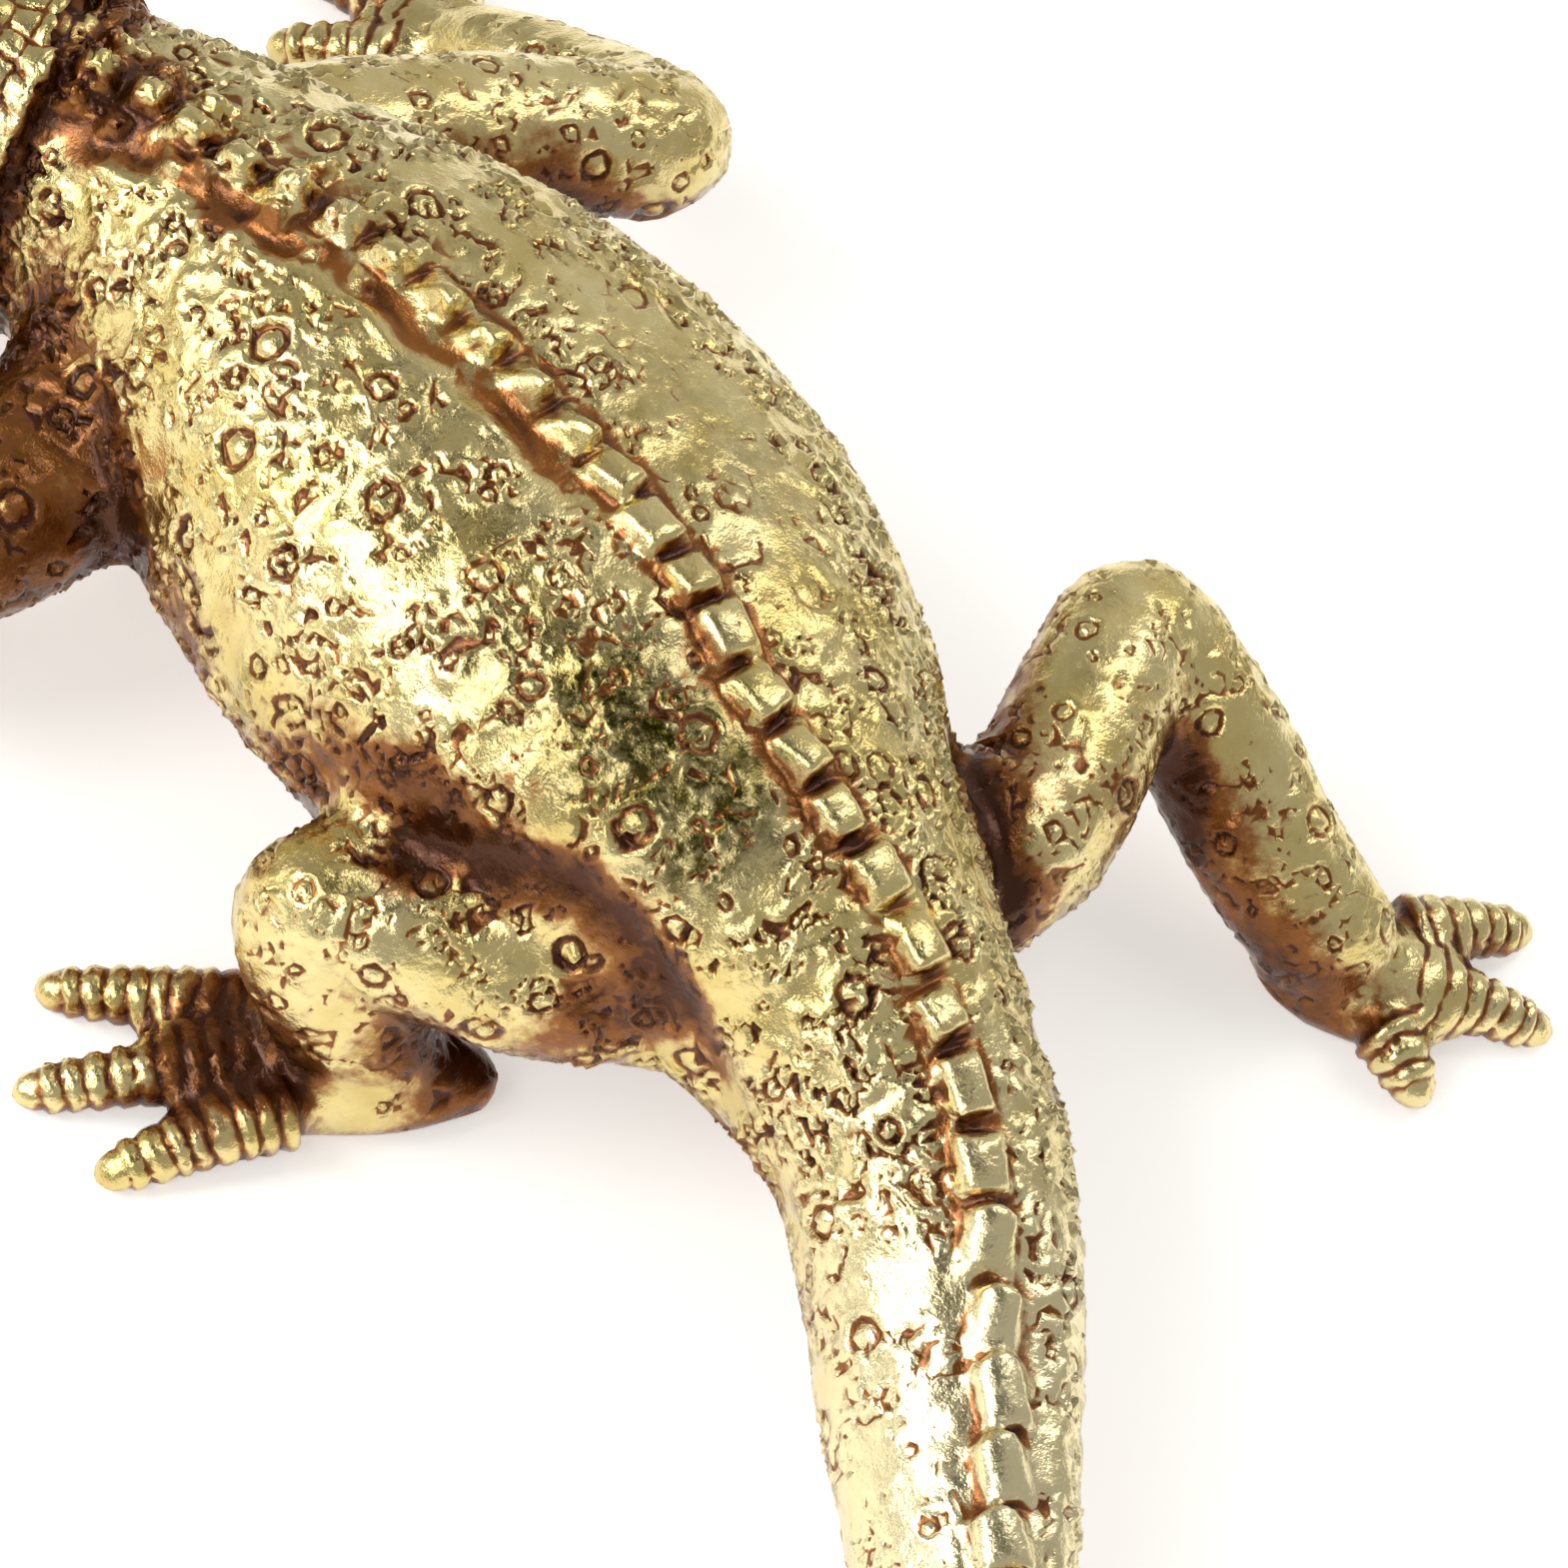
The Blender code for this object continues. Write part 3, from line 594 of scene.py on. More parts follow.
# beside the row of scales runs a channel with a raised lip on its left, from the neck to mid back
depth = 0.72 + 0.28 * np.sin(s / 1.7 + 1)
channel = np.exp(-((sway - 2.9) / 0.85) ** 2) * channel_share * depth
lip = np.exp(-((sway - 4.4) / 0.45) ** 2) * channel_share * depth
foot = np.exp(-((np.abs(from_row) - 2.0) / 0.75) ** 2) * over_the_back
foot *= (1 - rise(s, 42, 50)) * rise(s, -26, -14) * (0.55 + 0.45 * np.sin(s * 1.9 + 2 * np.sin(s * 0.7)))
collar = np.exp(-((s - 73.4) / 1.1) ** 2) * surely
moved = LIP_HEIGHT * lip - CHANNEL_DEPTH * channel + LID_HEIGHT * lid - GROOVE_DEPTH * groove - fold_depth
move_points(casting.data, spots + rows_of(casting.data.vertex_normals, "vector") * moved[:, None])
for name, values in {
        "along": body["along"], "around": around, "ring_share": ring_share, "crease_share": crease_share,
        "pebble_share": pebble_share, "far_side": far_side * plain * (1 - 0.75 * smooth), "tiled": tiled,
        "groove": groove, "channel": channel, "row_foot": foot, "collar": collar, "in_fold": in_fold}.items():
    keep_field(casting.data, name, values)

# the sizes of all that is cut in the skin
carving, given, made_out = node_group(
    "carved_skin", ring_spacing=6.6 * MM, ring_radius=0.98 * MM, ring_height=0.36 * MM, seed=7,
    crease_size=3.0 * MM, crease_height=0.30 * MM, pebble_size=1.8 * MM, pebble_height=0.12 * MM,
    dent_width=1.8 * MM, dent_length=3.3 * MM, dent_depth=0.34 * MM, swell_size=4.6 * MM,
    swell_height=0.24 * MM, tile_width=2.1 * MM, tile_length=1.85 * MM, tile_depth=0.32 * MM, finish=None)
# across a cut: place and level, 0.5 being the plain skin
RING_CUT = ((0.0, 0.72), (0.28, 0.62), (0.48, 0.06), (0.68, 0.78), (0.9, 0.52), (1.0, 0.5))
CREASE_CUT = ((0.0, 0.05), (0.08, 0.16), (0.24, 0.86), (0.46, 0.56), (1.0, 0.5))
position = add(carving, "GeometryNodeInputPosition")
normal = add(carving, "GeometryNodeInputNormal")
fields = {name: add(carving, "GeometryNodeInputNamedAttribute", {"Name": name}, data_type="FLOAT")
          for name in ("ring_share", "crease_share", "pebble_share", "far_side", "along", "around", "tiled")}
heights = []
ring_fields = {}
NUMBERS = {"data_type": "FLOAT", "domain": "POINT"}
VECTORS = {"data_type": "FLOAT_VECTOR", "domain": "POINT"}
# the most ring scales to a square metre, and how finely their edges waver, in waves to a metre
SPREAD_MOST = 3e5
EDGE_WAVES = 700.0


def raise_by(shape, height, share):
    """Adds a relief to the skin: its shape, times its height, times the share that each spot has."""
    raised = add(carving, "ShaderNodeMath", [shape, given[height]], operation="MULTIPLY")
    heights.append(add(carving, "ShaderNodeMath", [raised, fields[share]], operation="MULTIPLY"))


def cut_profile(value, knots, strength=1.0):
    """The height across a cut, from -1 to 1: a curve through knots of place and level."""
    profile = add(carving, "ShaderNodeFloatCurve", {"Value": value})
    curve = profile.mapping.curves[0]
    for point, knot in zip(curve.points, (knots[0], knots[-1])):
        point.location = knot
    for knot in knots[1:-1]:
        curve.points.new(*knot)
    profile.mapping.update()
    raised = add(carving, "ShaderNodeMath", [profile, 0.5], operation="SUBTRACT")
    return add(carving, "ShaderNodeMath", [raised, strength * 2], operation="MULTIPLY")


def round_and_along(width, length):
    """Places on the body, counted in widths round it and in lengths along it."""
    return add(carving, "ShaderNodeCombineXYZ",
               [add(carving, "ShaderNodeMath", [fields[way], given[size]], operation="DIVIDE")
                for way, size in (("around", width), ("along", length))])


# ring scales: a raised ring round a hollow, some in close pairs, and crescents between them
SCALE_KINDS = (("ring", 1.0, 1.0, 1.0), ("twin", 1.9, 0.85, 0.9), ("crescent", 0.68, 0.66, 0.9))
for name, spacing_share, radius_share, height_share in SCALE_KINDS:
    spacing = add(carving, "ShaderNodeMath", [given["ring_spacing"], spacing_share], operation="MULTIPLY")
    spread = add(carving, "GeometryNodeDistributePointsOnFaces",
                 {"Mesh": given["Geometry"], "Distance Min": spacing, "Density Max": SPREAD_MOST,
                  "Density Factor": fields["ring_share"],
                  "Seed": add(carving, "ShaderNodeMath", [given["seed"], float(len(ring_fields))],
                              operation="ADD")},
                 distribute_method="POISSON")
    lot = add(carving, "FunctionNodeRandomValue", {"Min": (0.62, 0, 0), "Max": (1.28, 1, 1),
                                                   "Seed": given["seed"]}, data_type="FLOAT_VECTOR")
    tagged = add(carving, "GeometryNodeStoreNamedAttribute",
                 {"Geometry": spread, "Name": "lot", "Value": lot}, **VECTORS)
    found = add(carving, "GeometryNodeSampleNearest", {"Geometry": tagged}, domain="POINT")
    kept_lot = add(carving, "GeometryNodeInputNamedAttribute", {"Name": "lot"}, data_type="FLOAT_VECTOR")
    centre, luck = (add(carving, "GeometryNodeSampleIndex",
                        {"Geometry": tagged, "Value": value, "Index": found}, **VECTORS)
                    for value in (position, kept_lot))
    luck_parts = add(carving, "ShaderNodeSeparateXYZ", [luck])
    apart = add(carving, "ShaderNodeVectorMath", [position, centre], operation="SUBTRACT")
    distance = add(carving, "ShaderNodeVectorMath", [apart], operation="LENGTH").outputs["Value"]
    radius = add(carving, "ShaderNodeMath", [given["ring_radius"], radius_share], operation="MULTIPLY")
    radius = add(carving, "ShaderNodeMath", [radius, luck_parts.outputs[0]], operation="MULTIPLY")
    rho = add(carving, "ShaderNodeMath", [distance, radius], operation="DIVIDE")
    wander = add(carving, "ShaderNodeTexNoise", {"Vector": position, "Scale": EDGE_WAVES, "Detail": 1.0})
    wander = add(carving, "ShaderNodeMapRange", [wander.outputs[0], 0.0, 1.0, -0.35, 0.35])
    rho = add(carving, "ShaderNodeMath", [rho, wander], operation="ADD")
    if name == "crescent":
        # a crescent is a ring that fades out on one side
        tangle = add(carving, "ShaderNodeVectorMath", [luck, (0.5, 0.5, 0.5)], operation="SUBTRACT")
        facing = add(carving, "ShaderNodeVectorMath", [tangle, apart], operation="DOT_PRODUCT")
        facing = add(carving, "ShaderNodeMath", [facing.outputs["Value"], radius], operation="DIVIDE")
        open_side = add(carving, "ShaderNodeMapRange", [facing, -0.35, 0.1, 0.9, 0.0])
        rho = add(carving, "ShaderNodeMath", [rho, open_side], operation="ADD")
    ring_fields[name] = rho
    across = add(carving, "ShaderNodeMath", [rho, 0.5], operation="MULTIPLY")
    raise_by(cut_profile(across, RING_CUT, height_share), "ring_height", "ring_share")

# creases: winding ridges between shallow hollows
per_metre = {size: add(carving, "ShaderNodeMath", [1.0, given[size]], operation="DIVIDE")
             for size in ("crease_size", "swell_size", "pebble_size")}
warp = add(carving, "ShaderNodeTexNoise",
           {"Vector": position, "Scale": per_metre["crease_size"], "Detail": 2.0, "Roughness": 0.50,
            "Distortion": 1.1})
fold = add(carving, "ShaderNodeMath", [warp.outputs[0], 0.5], operation="SUBTRACT")
fold = add(carving, "ShaderNodeMath", [fold], operation="ABSOLUTE")
broken = add(carving, "ShaderNodeTexNoise", {"Vector": position, "Scale": 1 / (3.2 * MM), "Detail": 1.0})
broken = add(carving, "ShaderNodeMapRange", [broken.outputs[0], 0.38, 0.50, 0.12, 0.0])
ring_fields["fold"] = add(carving, "ShaderNodeMath", [fold, broken], operation="ADD")
across = add(carving, "ShaderNodeMath", [ring_fields["fold"], 4.0], operation="MULTIPLY")
raise_by(cut_profile(across, CREASE_CUT), "crease_height", "crease_share")

# slow swells, as of a hand-shaped wax
swell = add(carving, "ShaderNodeTexNoise",
            {"Vector": position, "Scale": per_metre["swell_size"], "Detail": 1.0})
swell = add(carving, "ShaderNodeMapRange", [swell.outputs[0], 0.3, 0.7, -1.0])
raise_by(swell, "swell_height", "pebble_share")

# pebbles: small round bumps everywhere
bumps = add(carving, "ShaderNodeTexVoronoi", {"Vector": position, "Scale": per_metre["pebble_size"],
                                              "Smoothness": 0.4}, feature="SMOOTH_F1")
bumps = add(carving, "ShaderNodeMath", [0.45, bumps.outputs[0]], operation="SUBTRACT")
raise_by(bumps, "pebble_height", "pebble_share")

# dents on the smoother far flank, drawn out along the body
dent = add(carving, "ShaderNodeTexVoronoi", {"Vector": round_and_along("dent_width", "dent_length"),
                                             "Scale": 1.0, "Randomness": 0.9})
dent = add(carving, "ShaderNodeMapRange", [dent.outputs[0], 0.12, 0.32, -1.0, 0.0],
           interpolation_type="SMOOTHSTEP")
raise_by(dent, "dent_depth", "far_side")

# the hood's squared plates, like tiles with grooves between them
tile = add(carving, "ShaderNodeTexVoronoi", {"Vector": round_and_along("tile_width", "tile_length"),
                                             "Scale": 1.0, "Randomness": 0.24}, feature="DISTANCE_TO_EDGE")
ring_fields["tile"] = tile
tile = add(carving, "ShaderNodeMapRange", [tile, 0.05, 0.17, -1.0, 0.0], interpolation_type="SMOOTHSTEP")
raise_by(tile, "tile_depth", "tiled")

total = heights[0]
for extra in heights[1:]:
    total = add(carving, "ShaderNodeMath", [total, extra], operation="ADD")
offset = add(carving, "ShaderNodeVectorMath", {0: normal, "Scale": total}, operation="SCALE")
flow = given["Geometry"]
for name, rho in ring_fields.items():
    flow = add(carving, "GeometryNodeStoreNamedAttribute",
               {"Geometry": flow, "Name": name, "Value": rho}, **NUMBERS)
flow = add(carving, "GeometryNodeSetPosition", {"Geometry": flow, "Offset": offset})

# how hollow each spot is, close by and further out, for the wash that settles there
for name, rounds in (("hollow_fine", 5), ("hollow_broad", 40)):
    spread_out = add(carving, "GeometryNodeBlurAttribute",
                     {"Value": position, "Iterations": rounds, "Weight": 1.0}, data_type="FLOAT_VECTOR")
    lean_in = add(carving, "ShaderNodeVectorMath", [spread_out, position], operation="SUBTRACT")
    depth = add(carving, "ShaderNodeVectorMath", [lean_in, normal], operation="DOT_PRODUCT")
    flow = add(carving, "GeometryNodeStoreNamedAttribute",
               {"Geometry": flow, "Name": name, "Value": depth.outputs["Value"]}, **NUMBERS)

# and how far the light reaches it, from a fan of directions, for the shade painted brown into the finish
SIGHT_LINES = 14
SIGHT_REACH = 14 * MM
SIGHT_START = 0.5 * MM
GOLDEN_TURN = 2.39996
start_off = add(carving, "ShaderNodeVectorMath", {0: normal, "Scale": SIGHT_START}, operation="SCALE")
start_off = add(carving, "ShaderNodeVectorMath", [start_off, position], operation="ADD")
blocked, looked = 0.0, 0.001
for number in range(SIGHT_LINES):
    lift = 1 - (2 * number + 1) / SIGHT_LINES
    swing = number * GOLDEN_TURN
    flat = math.sqrt(1 - lift * lift)
    sight = (flat * math.cos(swing), flat * math.sin(swing), lift)
    ray = add(carving, "GeometryNodeRaycast",
              {"Target Geometry": flow, "Source Position": start_off, "Ray Direction": sight,
               "Ray Length": SIGHT_REACH})
    facing = add(carving, "ShaderNodeVectorMath", [normal, sight], operation="DOT_PRODUCT")
    facing = add(carving, "ShaderNodeMath", [facing.outputs["Value"], 0.0], operation="MAXIMUM")
    looked = add(carving, "ShaderNodeMath", [looked, facing], operation="ADD")
    blocked = add(carving, "ShaderNodeMath", [ray.outputs["Is Hit"], facing, blocked],
                  operation="MULTIPLY_ADD")
shade = add(carving, "ShaderNodeMath", [blocked, looked], operation="DIVIDE")
flow = add(carving, "GeometryNodeStoreNamedAttribute",
           {"Geometry": flow, "Name": "shaded", "Value": shade}, **NUMBERS)
shade = add(carving, "GeometryNodeInputNamedAttribute", {"Name": "shaded"}, data_type="FLOAT")
eased = add(carving, "GeometryNodeBlurAttribute", {"Value": shade, "Iterations": 5, "Weight": 1.0},
            data_type="FLOAT")
# how far each spot faces down, for the shade painted brown on the undersides
downward = add(carving, "ShaderNodeSeparateXYZ", [normal])
downward = add(carving, "ShaderNodeMapRange", [downward.outputs[2], 0.25, -0.55])
for name, value in (("shaded", eased), ("painted_underside_shade", downward)):
    flow = add(carving, "GeometryNodeStoreNamedAttribute",
               {"Geometry": flow, "Name": name, "Value": value}, **NUMBERS)
end_tree(carving, flow, given["finish"], made_out)
run_nodes(casting, carving, finish=gold)
set_down(casting)

thin = casting.modifiers.new("thin", "DECIMATE")
thin.use_collapse_triangulate = True
thin.ratio = KEPT_TRIANGLES / (2 * len(casting.data.polygons))
set_down(casting)

low, high = (np.array(corner, np.float32) for corner in cad_box)
casting.data.vertices.foreach_set("co", np.clip(rows_of(casting.data.vertices), low, high).ravel())
casting.data.shade_smooth()
casting.data.materials.clear()
casting.data.materials.append(gold)

# The finish: a metallic lacquer of pale antique gold over an umber wash that was brushed on and wiped off, so
# it stays reddish brown and glossy in every hollow and beside the row of scales, and lets the gold shine on
# all that stands proud.
# Painted into the same colour as well: brown shade on the undersides and where little light reaches, a pale
# highlight on the tail, and a dark reflection on the back.


def colour(code):
    """A linear colour from its hex code."""
    parts = [int(code[k:k + 2], 16) / 255 for k in (0, 2, 4)]
    return (*[p / 12.92 if p <= 0.04045 else ((p + 0.055) / 1.055) ** 2.4 for p in parts], 1.0)


# Where the wash is laid on thick, partly real wash and partly painted shade in the joints, under the limbs
# and at the soles: place on the casting and reach in millimetres, and how thick
THICK_WASH_AND_PAINTED_SHADE = [
    (-21, 60, 20, 9, 1.0), (-20, 56, 18, 8, 1.0), (-18, 66, 21, 6, 0.8), (-25, 55, 16, 8, 0.9),
    (-14, 18, 24, 4, 1.2), (-12, 15, 25, 4, 1.2), (-10, 12, 24, 4, 1.1), (-9, 8, 21, 5, 1.2),
    (-10, 10, 18, 5, 1.1), (-12, 10, 15, 5, 0.6), (-17, 22, 23, 4, 0.7), (-16, 25, 24, 5, 0.5),
    (-20, 33, 21, 5, 0.55), (-20, 45, 19, 5, 0.45), (-13, 19, 28, 4, 0.5),
    (-18, 30, 24, 4, 0.7), (-17, 27, 24, 4, 1.1), (-16, 25, 25, 4, 1.2), (-15, 23, 25, 3.5, 1.2),
    (33, 9, 15, 7, 1.0), (34, 5, 11, 7, 1.0), (36, 0, 7, 7, 1.0), (38, -3, 4, 7, 1.0),
    (20, 66, 14, 6, 0.9), (25, 65, 12, 6, 0.9), (29, 64, 11, 5, 0.7), (15, 66, 20, 5, 0.8),
    (11, 67, 25, 4, 0.6),
    (-15, 15, 4, 6, 1.0), (-19, 16, 9, 5, 0.8), (-27, 24, 4, 5, 0.8), (-26, 20, 4, 4, 0.8),
    (-30, 21, 4, 4, 0.5), (40, -3, 3, 4, 0.7), (43, -5, 5, 4, 0.5),
    (-9, 73, 32, 4, 0.9), (-6, 74, 34, 3, 0.8), (-12, 72, 31, 3, 0.6), (-9, 62, 34, 2.6, 0.8),
    (17, 10, 22, 4, 0.8), (17, 4, 18, 4, 0.9), (26, 8, 20, 5, 0.5),
]
# A dark green-gold painted reflection laid on the back and the left flank: place and reach in millimetres,
# and how much
PAINTED_DARK_REFLECTION = [
    (-8, 24, 34, 4.5, 0.6), (-7, 21, 34, 5.5, 1.0), (-5, 18, 34, 5.5, 1.0), (-3, 18, 34, 4, 0.9),
    (-9, 18, 32, 5, 1.0), (-6, 15, 32, 5.5, 1.0), (-4, 12, 32, 5, 1.0), (-6, 11, 30, 4.5, 1.0),
    (-2, 13, 33, 4, 0.9),
    (-10, 27, 33, 4.5, 0.7), (-12, 24, 32, 4, 0.6),
    (8, 31, 35, 7, 0.30), (8, 38, 36, 6, 0.25), (8, 24, 34, 5, 0.20),
]


def laid_on(spots, rows):
    """How strongly the listed spots cover each point."""
    field = np.zeros(len(spots))
    for *centre, reach, share in rows:
        away = np.linalg.norm(spots / MM - np.array(centre), axis=1) / reach
        field = np.maximum(field, share * (1 - rise(away, 0.25, 1.15)))
    return field


spots = rows_of(casting.data.vertices)
# the thick spots: wash, and painted shade in the joints and under the limbs
keep_field(casting.data, "thick", laid_on(spots, THICK_WASH_AND_PAINTED_SHADE))
# where the dark painted reflection is laid on
keep_field(casting.data, "dark_reflection_paint", laid_on(spots, PAINTED_DARK_REFLECTION))

gold.use_nodes = True
paint = gold.node_tree
paint.nodes.clear()
where = add(paint, "ShaderNodeTexCoord").outputs["Object"]
read = {name: add(paint, "ShaderNodeAttribute", attribute_name=name, attribute_type="GEOMETRY").outputs["Fac"]
        for name in ("ring", "twin", "crescent", "fold", "tile", "hollow_fine", "hollow_broad", "shaded",
                     "channel", "painted_underside_shade", "crease_share", "ring_share", "tiled", "row_foot", "collar",
                     "thick", "along", "groove", "in_fold", "dark_reflection_paint")}
# the brush's clouds are about 6 mm across, the wash's specks 1.1 mm, the cast grain 0.35 mm
cloud, speck, grain = (
    add(paint, "ShaderNodeTexNoise",
        {"Vector": where, "Scale": 1 / size, "Detail": detail, "Roughness": roughness})
    for size, detail, roughness in ((6.0 * MM, 5.0, 0.62), (1.1 * MM, 4.0, 0.65), (0.35 * MM, 3.0, 0.6)))
tint = add(paint, "ShaderNodeMapRange", [cloud.outputs[0], 0.35, 0.65])
MIX = {"data_type": "RGBA"}
gold_colour = add(paint, "ShaderNodeMix",
                  {"Factor": tint, "A": colour("d6bf78"), "B": colour("ead9a0")}, **MIX)
# the tail is painted paler as a painted highlight, and a dark green-gold painted reflection is laid in specks
# painted highlight: the gold fades to a pale cream along the tail
painted_tail_highlight = add(paint, "ShaderNodeMapRange", [read["along"], -4 * MM, -30 * MM, 0.0, 0.6])
# painted reflection: a dark green-gold, broken into specks
spread = add(paint, "ShaderNodeMapRange", [speck.outputs[0], 0.42, 0.66, 1.0, 0.25])
spread = add(paint, "ShaderNodeMath", [spread, read["dark_reflection_paint"]], operation="MULTIPLY")
for amount, over in ((painted_tail_highlight, "f4e9c4"), (spread, "4b430e")):
    gold_colour = add(paint, "ShaderNodeMix",
                      {"Factor": amount, "A": gold_colour.outputs["Result"], "B": colour(over)}, **MIX)
# the wash lies in the grooves round the ring scales and in the creases, as thin dark lines
LINES = (("ring", 1.0, 0.22, "ring_share"), ("twin", 1.0, 0.22, "ring_share"),
         ("crescent", 1.0, 0.26, "ring_share"), ("fold", 0.0, 0.026, "crease_share"),
         ("tile", 0.0, 0.085, "tiled"))
line = 0.0
for name, at_line, half_width, share in LINES:
    here = add(paint, "ShaderNodeMath", [read[name], at_line], operation="SUBTRACT")
    here = add(paint, "ShaderNodeMath", [here], operation="ABSOLUTE")
    here = add(paint, "ShaderNodeMapRange", [here, 0.4 * half_width, half_width * 1.5, 1.0, 0.0])
    here = add(paint, "ShaderNodeMath", [here, read[share]], operation="MULTIPLY")
    line = add(paint, "ShaderNodeMath", [here, line], operation="MAXIMUM")
fine = add(paint, "ShaderNodeMapRange", [read["hollow_fine"], 0.010 * MM, 0.08 * MM])
broad = add(paint, "ShaderNodeMapRange", [read["hollow_broad"], 0.05 * MM, 0.34 * MM])
# painted shade: browner where little light reaches
dark = add(paint, "ShaderNodeMapRange", [read["shaded"], 0.07, 0.42])
# the brown adds up from the wash in grooves and hollows, and from painted shade where little light reaches,
# on the undersides and in the thick spots
wash_and_shade_sum = add(paint, "ShaderNodeMath", [line, 0.50], operation="MULTIPLY")
for amount, weight in ((fine, 0.46), (broad, 0.45), (dark, 0.80), (read["painted_underside_shade"], 0.7),
                       (read["collar"], 0.75), (read["thick"], 0.85), (read["groove"], 0.75),
                       (read["in_fold"], 0.35)):
    wash_and_shade_sum = add(paint, "ShaderNodeMath", [amount, weight, wash_and_shade_sum], operation="MULTIPLY_ADD")
for noise, most in ((cloud, 0.30), (speck, 0.15)):
    uneven = add(paint, "ShaderNodeMapRange", [noise.outputs[0], 0.3, 0.7, -most, most])
    wash_and_shade_sum = add(paint, "ShaderNodeMath", [wash_and_shade_sum, uneven], operation="ADD")
# where wash and painted shade add up most, the brown is painted deeper
deep = add(paint, "ShaderNodeMapRange", [wash_and_shade_sum, 0.55, 1.45])
# in the channel and along the row's foot it lies thin and orange
for amount, weight in ((read["channel"], 0.85), (read["row_foot"], 0.52)):
    wash_and_shade_sum = add(paint, "ShaderNodeMath", [amount, weight, wash_and_shade_sum], operation="MULTIPLY_ADD")
wash_and_shade = add(paint, "ShaderNodeMapRange", [wash_and_shade_sum, 0.24, 0.78], interpolation_type="SMOOTHSTEP")
wash_colour = add(paint, "ShaderNodeMix",
                  {"Factor": deep, "A": colour("9a5f28"), "B": colour("472207")}, **MIX)
base = add(paint, "ShaderNodeMix", {"Factor": wash_and_shade, "A": gold_colour.outputs["Result"],
                                    "B": wash_colour.outputs["Result"]}, **MIX)
metal = add(paint, "ShaderNodeMapRange", [wash_and_shade, 0.0, 1.0, 1.0, 0.66])
rough = add(paint, "ShaderNodeMapRange", [speck.outputs[0], 0.3, 0.7, 0.14, 0.30])
relief = add(paint, "ShaderNodeMath", [line, -1.3, grain], operation="MULTIPLY_ADD")
relief = add(paint, "ShaderNodeMath", [speck.outputs[0], 1.5, relief], operation="MULTIPLY_ADD")
bump = add(paint, "ShaderNodeBump", {"Height": relief, "Strength": 0.45, "Distance": 0.12 * MM})
lacquer = add(paint, "ShaderNodeBsdfPrincipled",
              {"Base Color": base.outputs["Result"], "Metallic": metal, "Roughness": rough, "Normal": bump,
               "Coat Weight": 0.12, "Coat Roughness": 0.08})
paint.links.new(lacquer.outputs[0], add(paint, "ShaderNodeOutputMaterial").inputs["Surface"])

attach(casting, "root")
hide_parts("lizard_figurine")

# The floor it is shown on: one sheet of pale matt board under the soles, so wide that no edge is in
# sight. It is stage, and no part of the casting.
FLOOR_SIDE = 4.0
FLOOR_DROP = 0.1 * MM
pale = bpy.data.materials.new("pale_floor")
pale.use_nodes = True
for name, value in {"Base Color": colour("f6f5f1"), "Roughness": 0.9, "Emission Color": colour("fdfdfb"),
                    "Emission Strength": 0.50}.items():
    pale.node_tree.nodes["Principled BSDF"].inputs[name].default_value = value
sheet = bpy.data.meshes.new("floor")
edge = FLOOR_SIDE / 2
corners = [(-edge, -edge, 0), (edge, -edge, 0), (edge, edge, 0), (-edge, edge, 0)]
sheet.from_pydata(corners, [], [(0, 1, 2, 3)])
sheet.materials.append(pale)
floor = piece_from("floor", sheet)
floor.location.z = -FLOOR_DROP

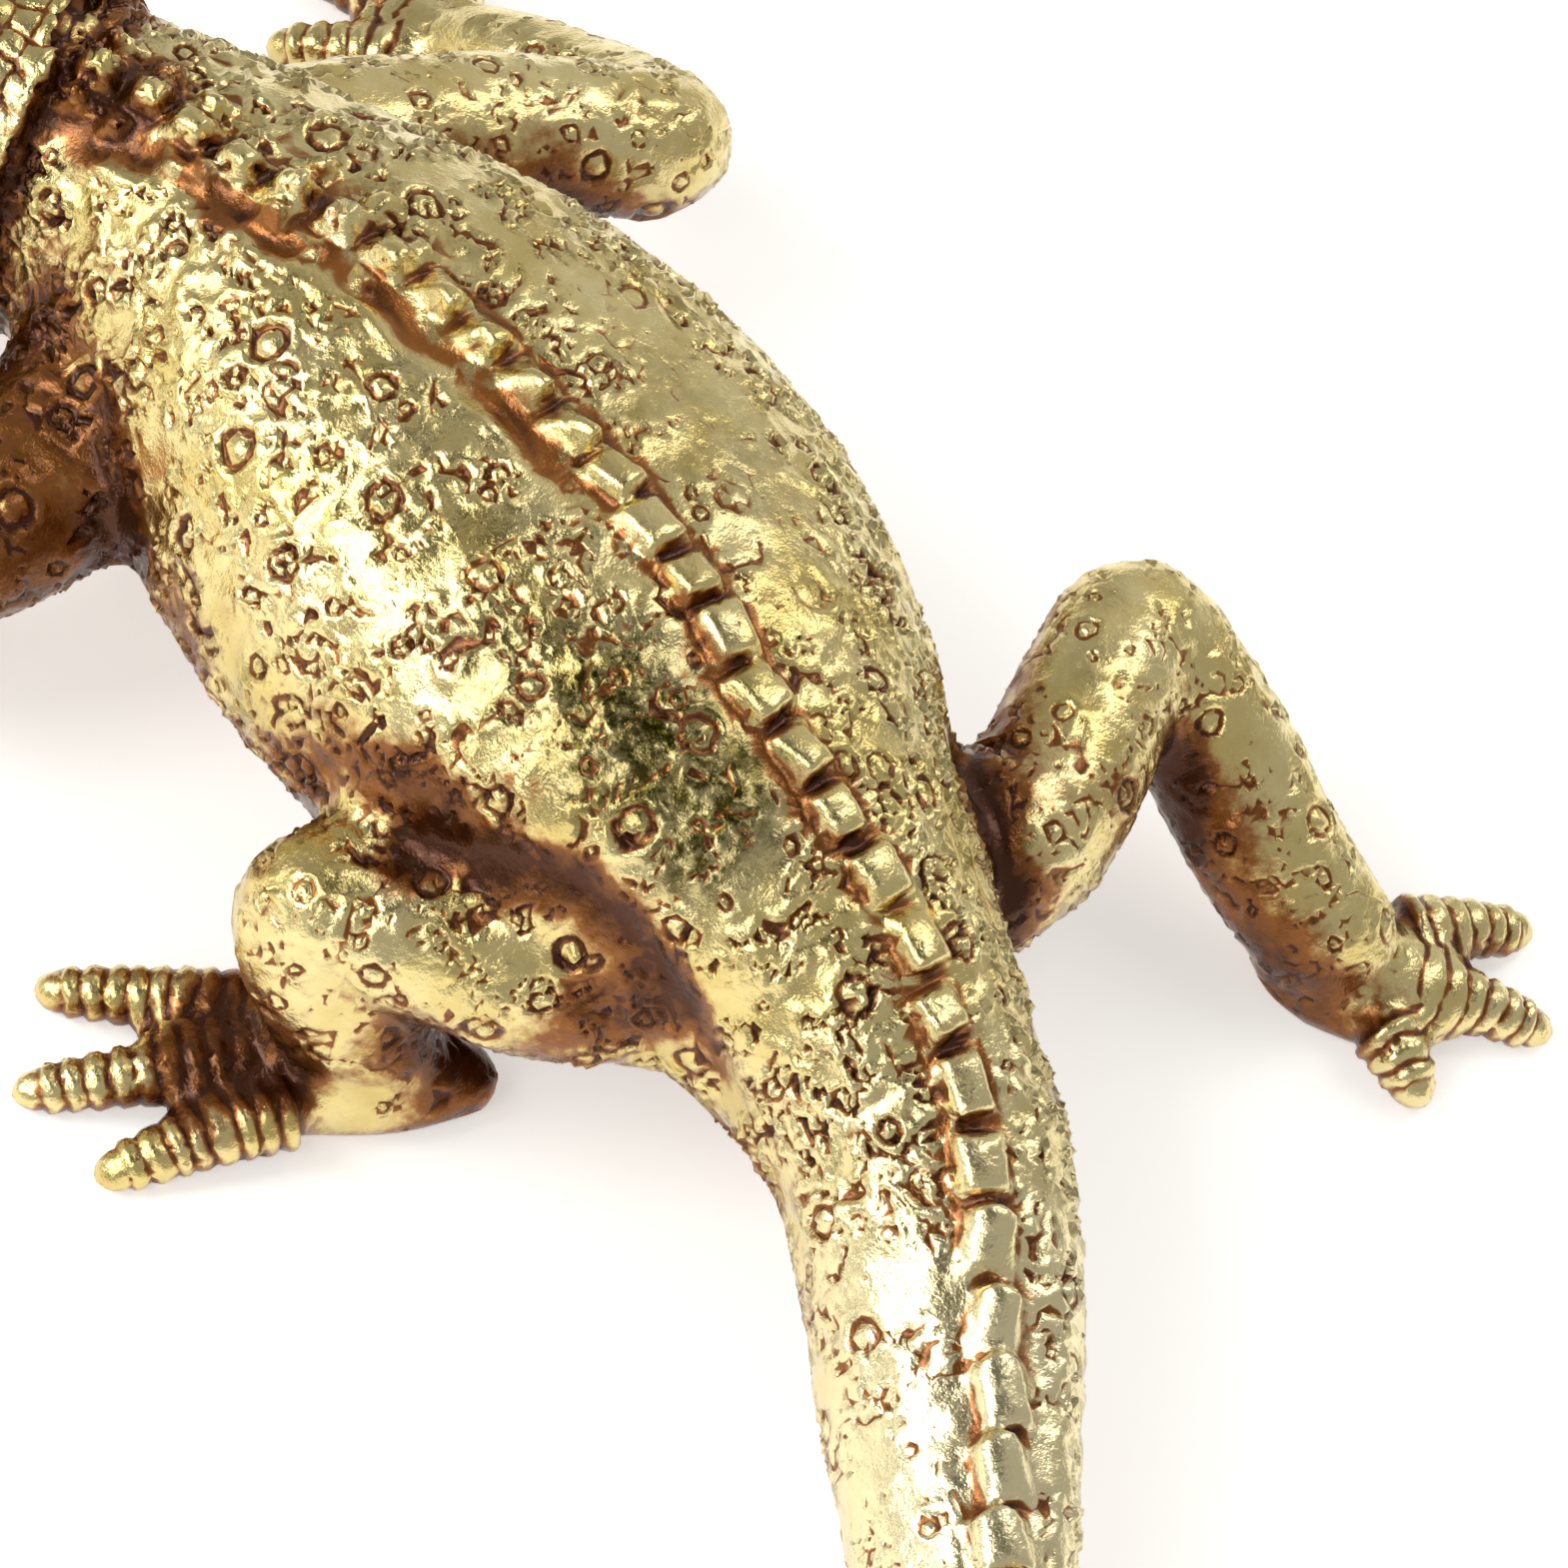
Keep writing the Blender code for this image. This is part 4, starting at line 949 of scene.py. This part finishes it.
# The light: four soft boxes, two of them to the left of the head, one over the left flank and a long
# one on the right, and a pale room around them that is darker overhead.
BOXES = {  # direction, distance, width, height, brightness
    "key": ((-0.67, 0.31, 0.67), 0.85, 0.38, 0.38, 5.2),
    "high": ((-0.69, 0.54, 0.48), 0.90, 0.60, 0.50, 1.5),
    "left": ((-0.74, -0.20, 0.64), 0.85, 0.30, 0.44, 3.1),
    "right": ((0.55, 0.03, 0.83), 1.00, 0.24, 0.95, 2.8),
}
aim = Vector((8, 18, 15)) * MM
for name, (toward, distance, width, height, brightness) in BOXES.items():
    lamp = bpy.data.lights.new(name, "AREA")
    lamp.shape = "RECTANGLE"
    lamp.size = width
    lamp.size_y = height
    lamp.energy = brightness * math.pi * width * height
    lit = bpy.data.objects.new(name, lamp)
    lit.location = aim + Vector(toward).normalized() * distance
    lit.rotation_mode = "QUATERNION"
    lit.rotation_quaternion = Vector(toward).to_track_quat("Z", "Y")
    bpy.context.scene.collection.objects.link(lit)

room = bpy.data.worlds.new("studio")
room.use_nodes = True
bpy.context.scene.world = room
air = room.node_tree
air.nodes.clear()
toward = add(air, "ShaderNodeTexCoord").outputs["Generated"]
toward = add(air, "ShaderNodeVectorMath", [toward], operation="NORMALIZE")
# three parts of the room differ: direction, cosines where each is full and where it ends, and share
DIMS = (((-0.14, -0.05, 0.989), 0.985, 0.86, 0.25), ((0.02, 0.60, 0.80), 0.97, 0.80, 0.85),
        ((0.72, 0.45, 0.53), 0.97, 0.80, 1.35))
bright = 0.47
for centre, inner, outer, left_over in DIMS:
    near = add(air, "ShaderNodeVectorMath", [toward, centre], operation="DOT_PRODUCT").outputs["Value"]
    dimmed = add(air, "ShaderNodeMapRange", [near, outer, inner, 1.0, left_over],
                 interpolation_type="SMOOTHSTEP")
    bright = add(air, "ShaderNodeMath", [bright, dimmed], operation="MULTIPLY")
glow = add(air, "ShaderNodeBackground", {"Color": colour("fbfaf6"), "Strength": bright})
air.links.new(glow.outputs[0], add(air, "ShaderNodeOutputWorld").inputs["Surface"])
bpy.context.scene.view_settings.view_transform = "Standard"

# The camera: above the tail and to its left, at the photograph's viewing angle, and rolled a little
# as it was held.
AIM = Vector((7.84, 17.91, 19.4)) * MM
AWAY = 450 * MM
view_from = Vector((-0.4716, -0.3957, 0.788)).normalized()
camera_data = bpy.data.cameras.new("camera")
camera_data.sensor_width = 36.0
camera_data.lens = 166.5
camera_data.clip_start = 0.01
camera_data.clip_end = 20.0
camera = bpy.data.objects.new("camera", camera_data)
right = Vector((0.8107, -0.5465, 0.2106))
up_way = Vector((0.3473, 0.7381, 0.5786))
turned = Matrix((right, up_way, view_from)).transposed()
camera.matrix_world = Matrix.Translation(AIM + view_from * AWAY) @ turned.to_4x4()
bpy.context.scene.collection.objects.link(camera)
bpy.context.scene.camera = camera
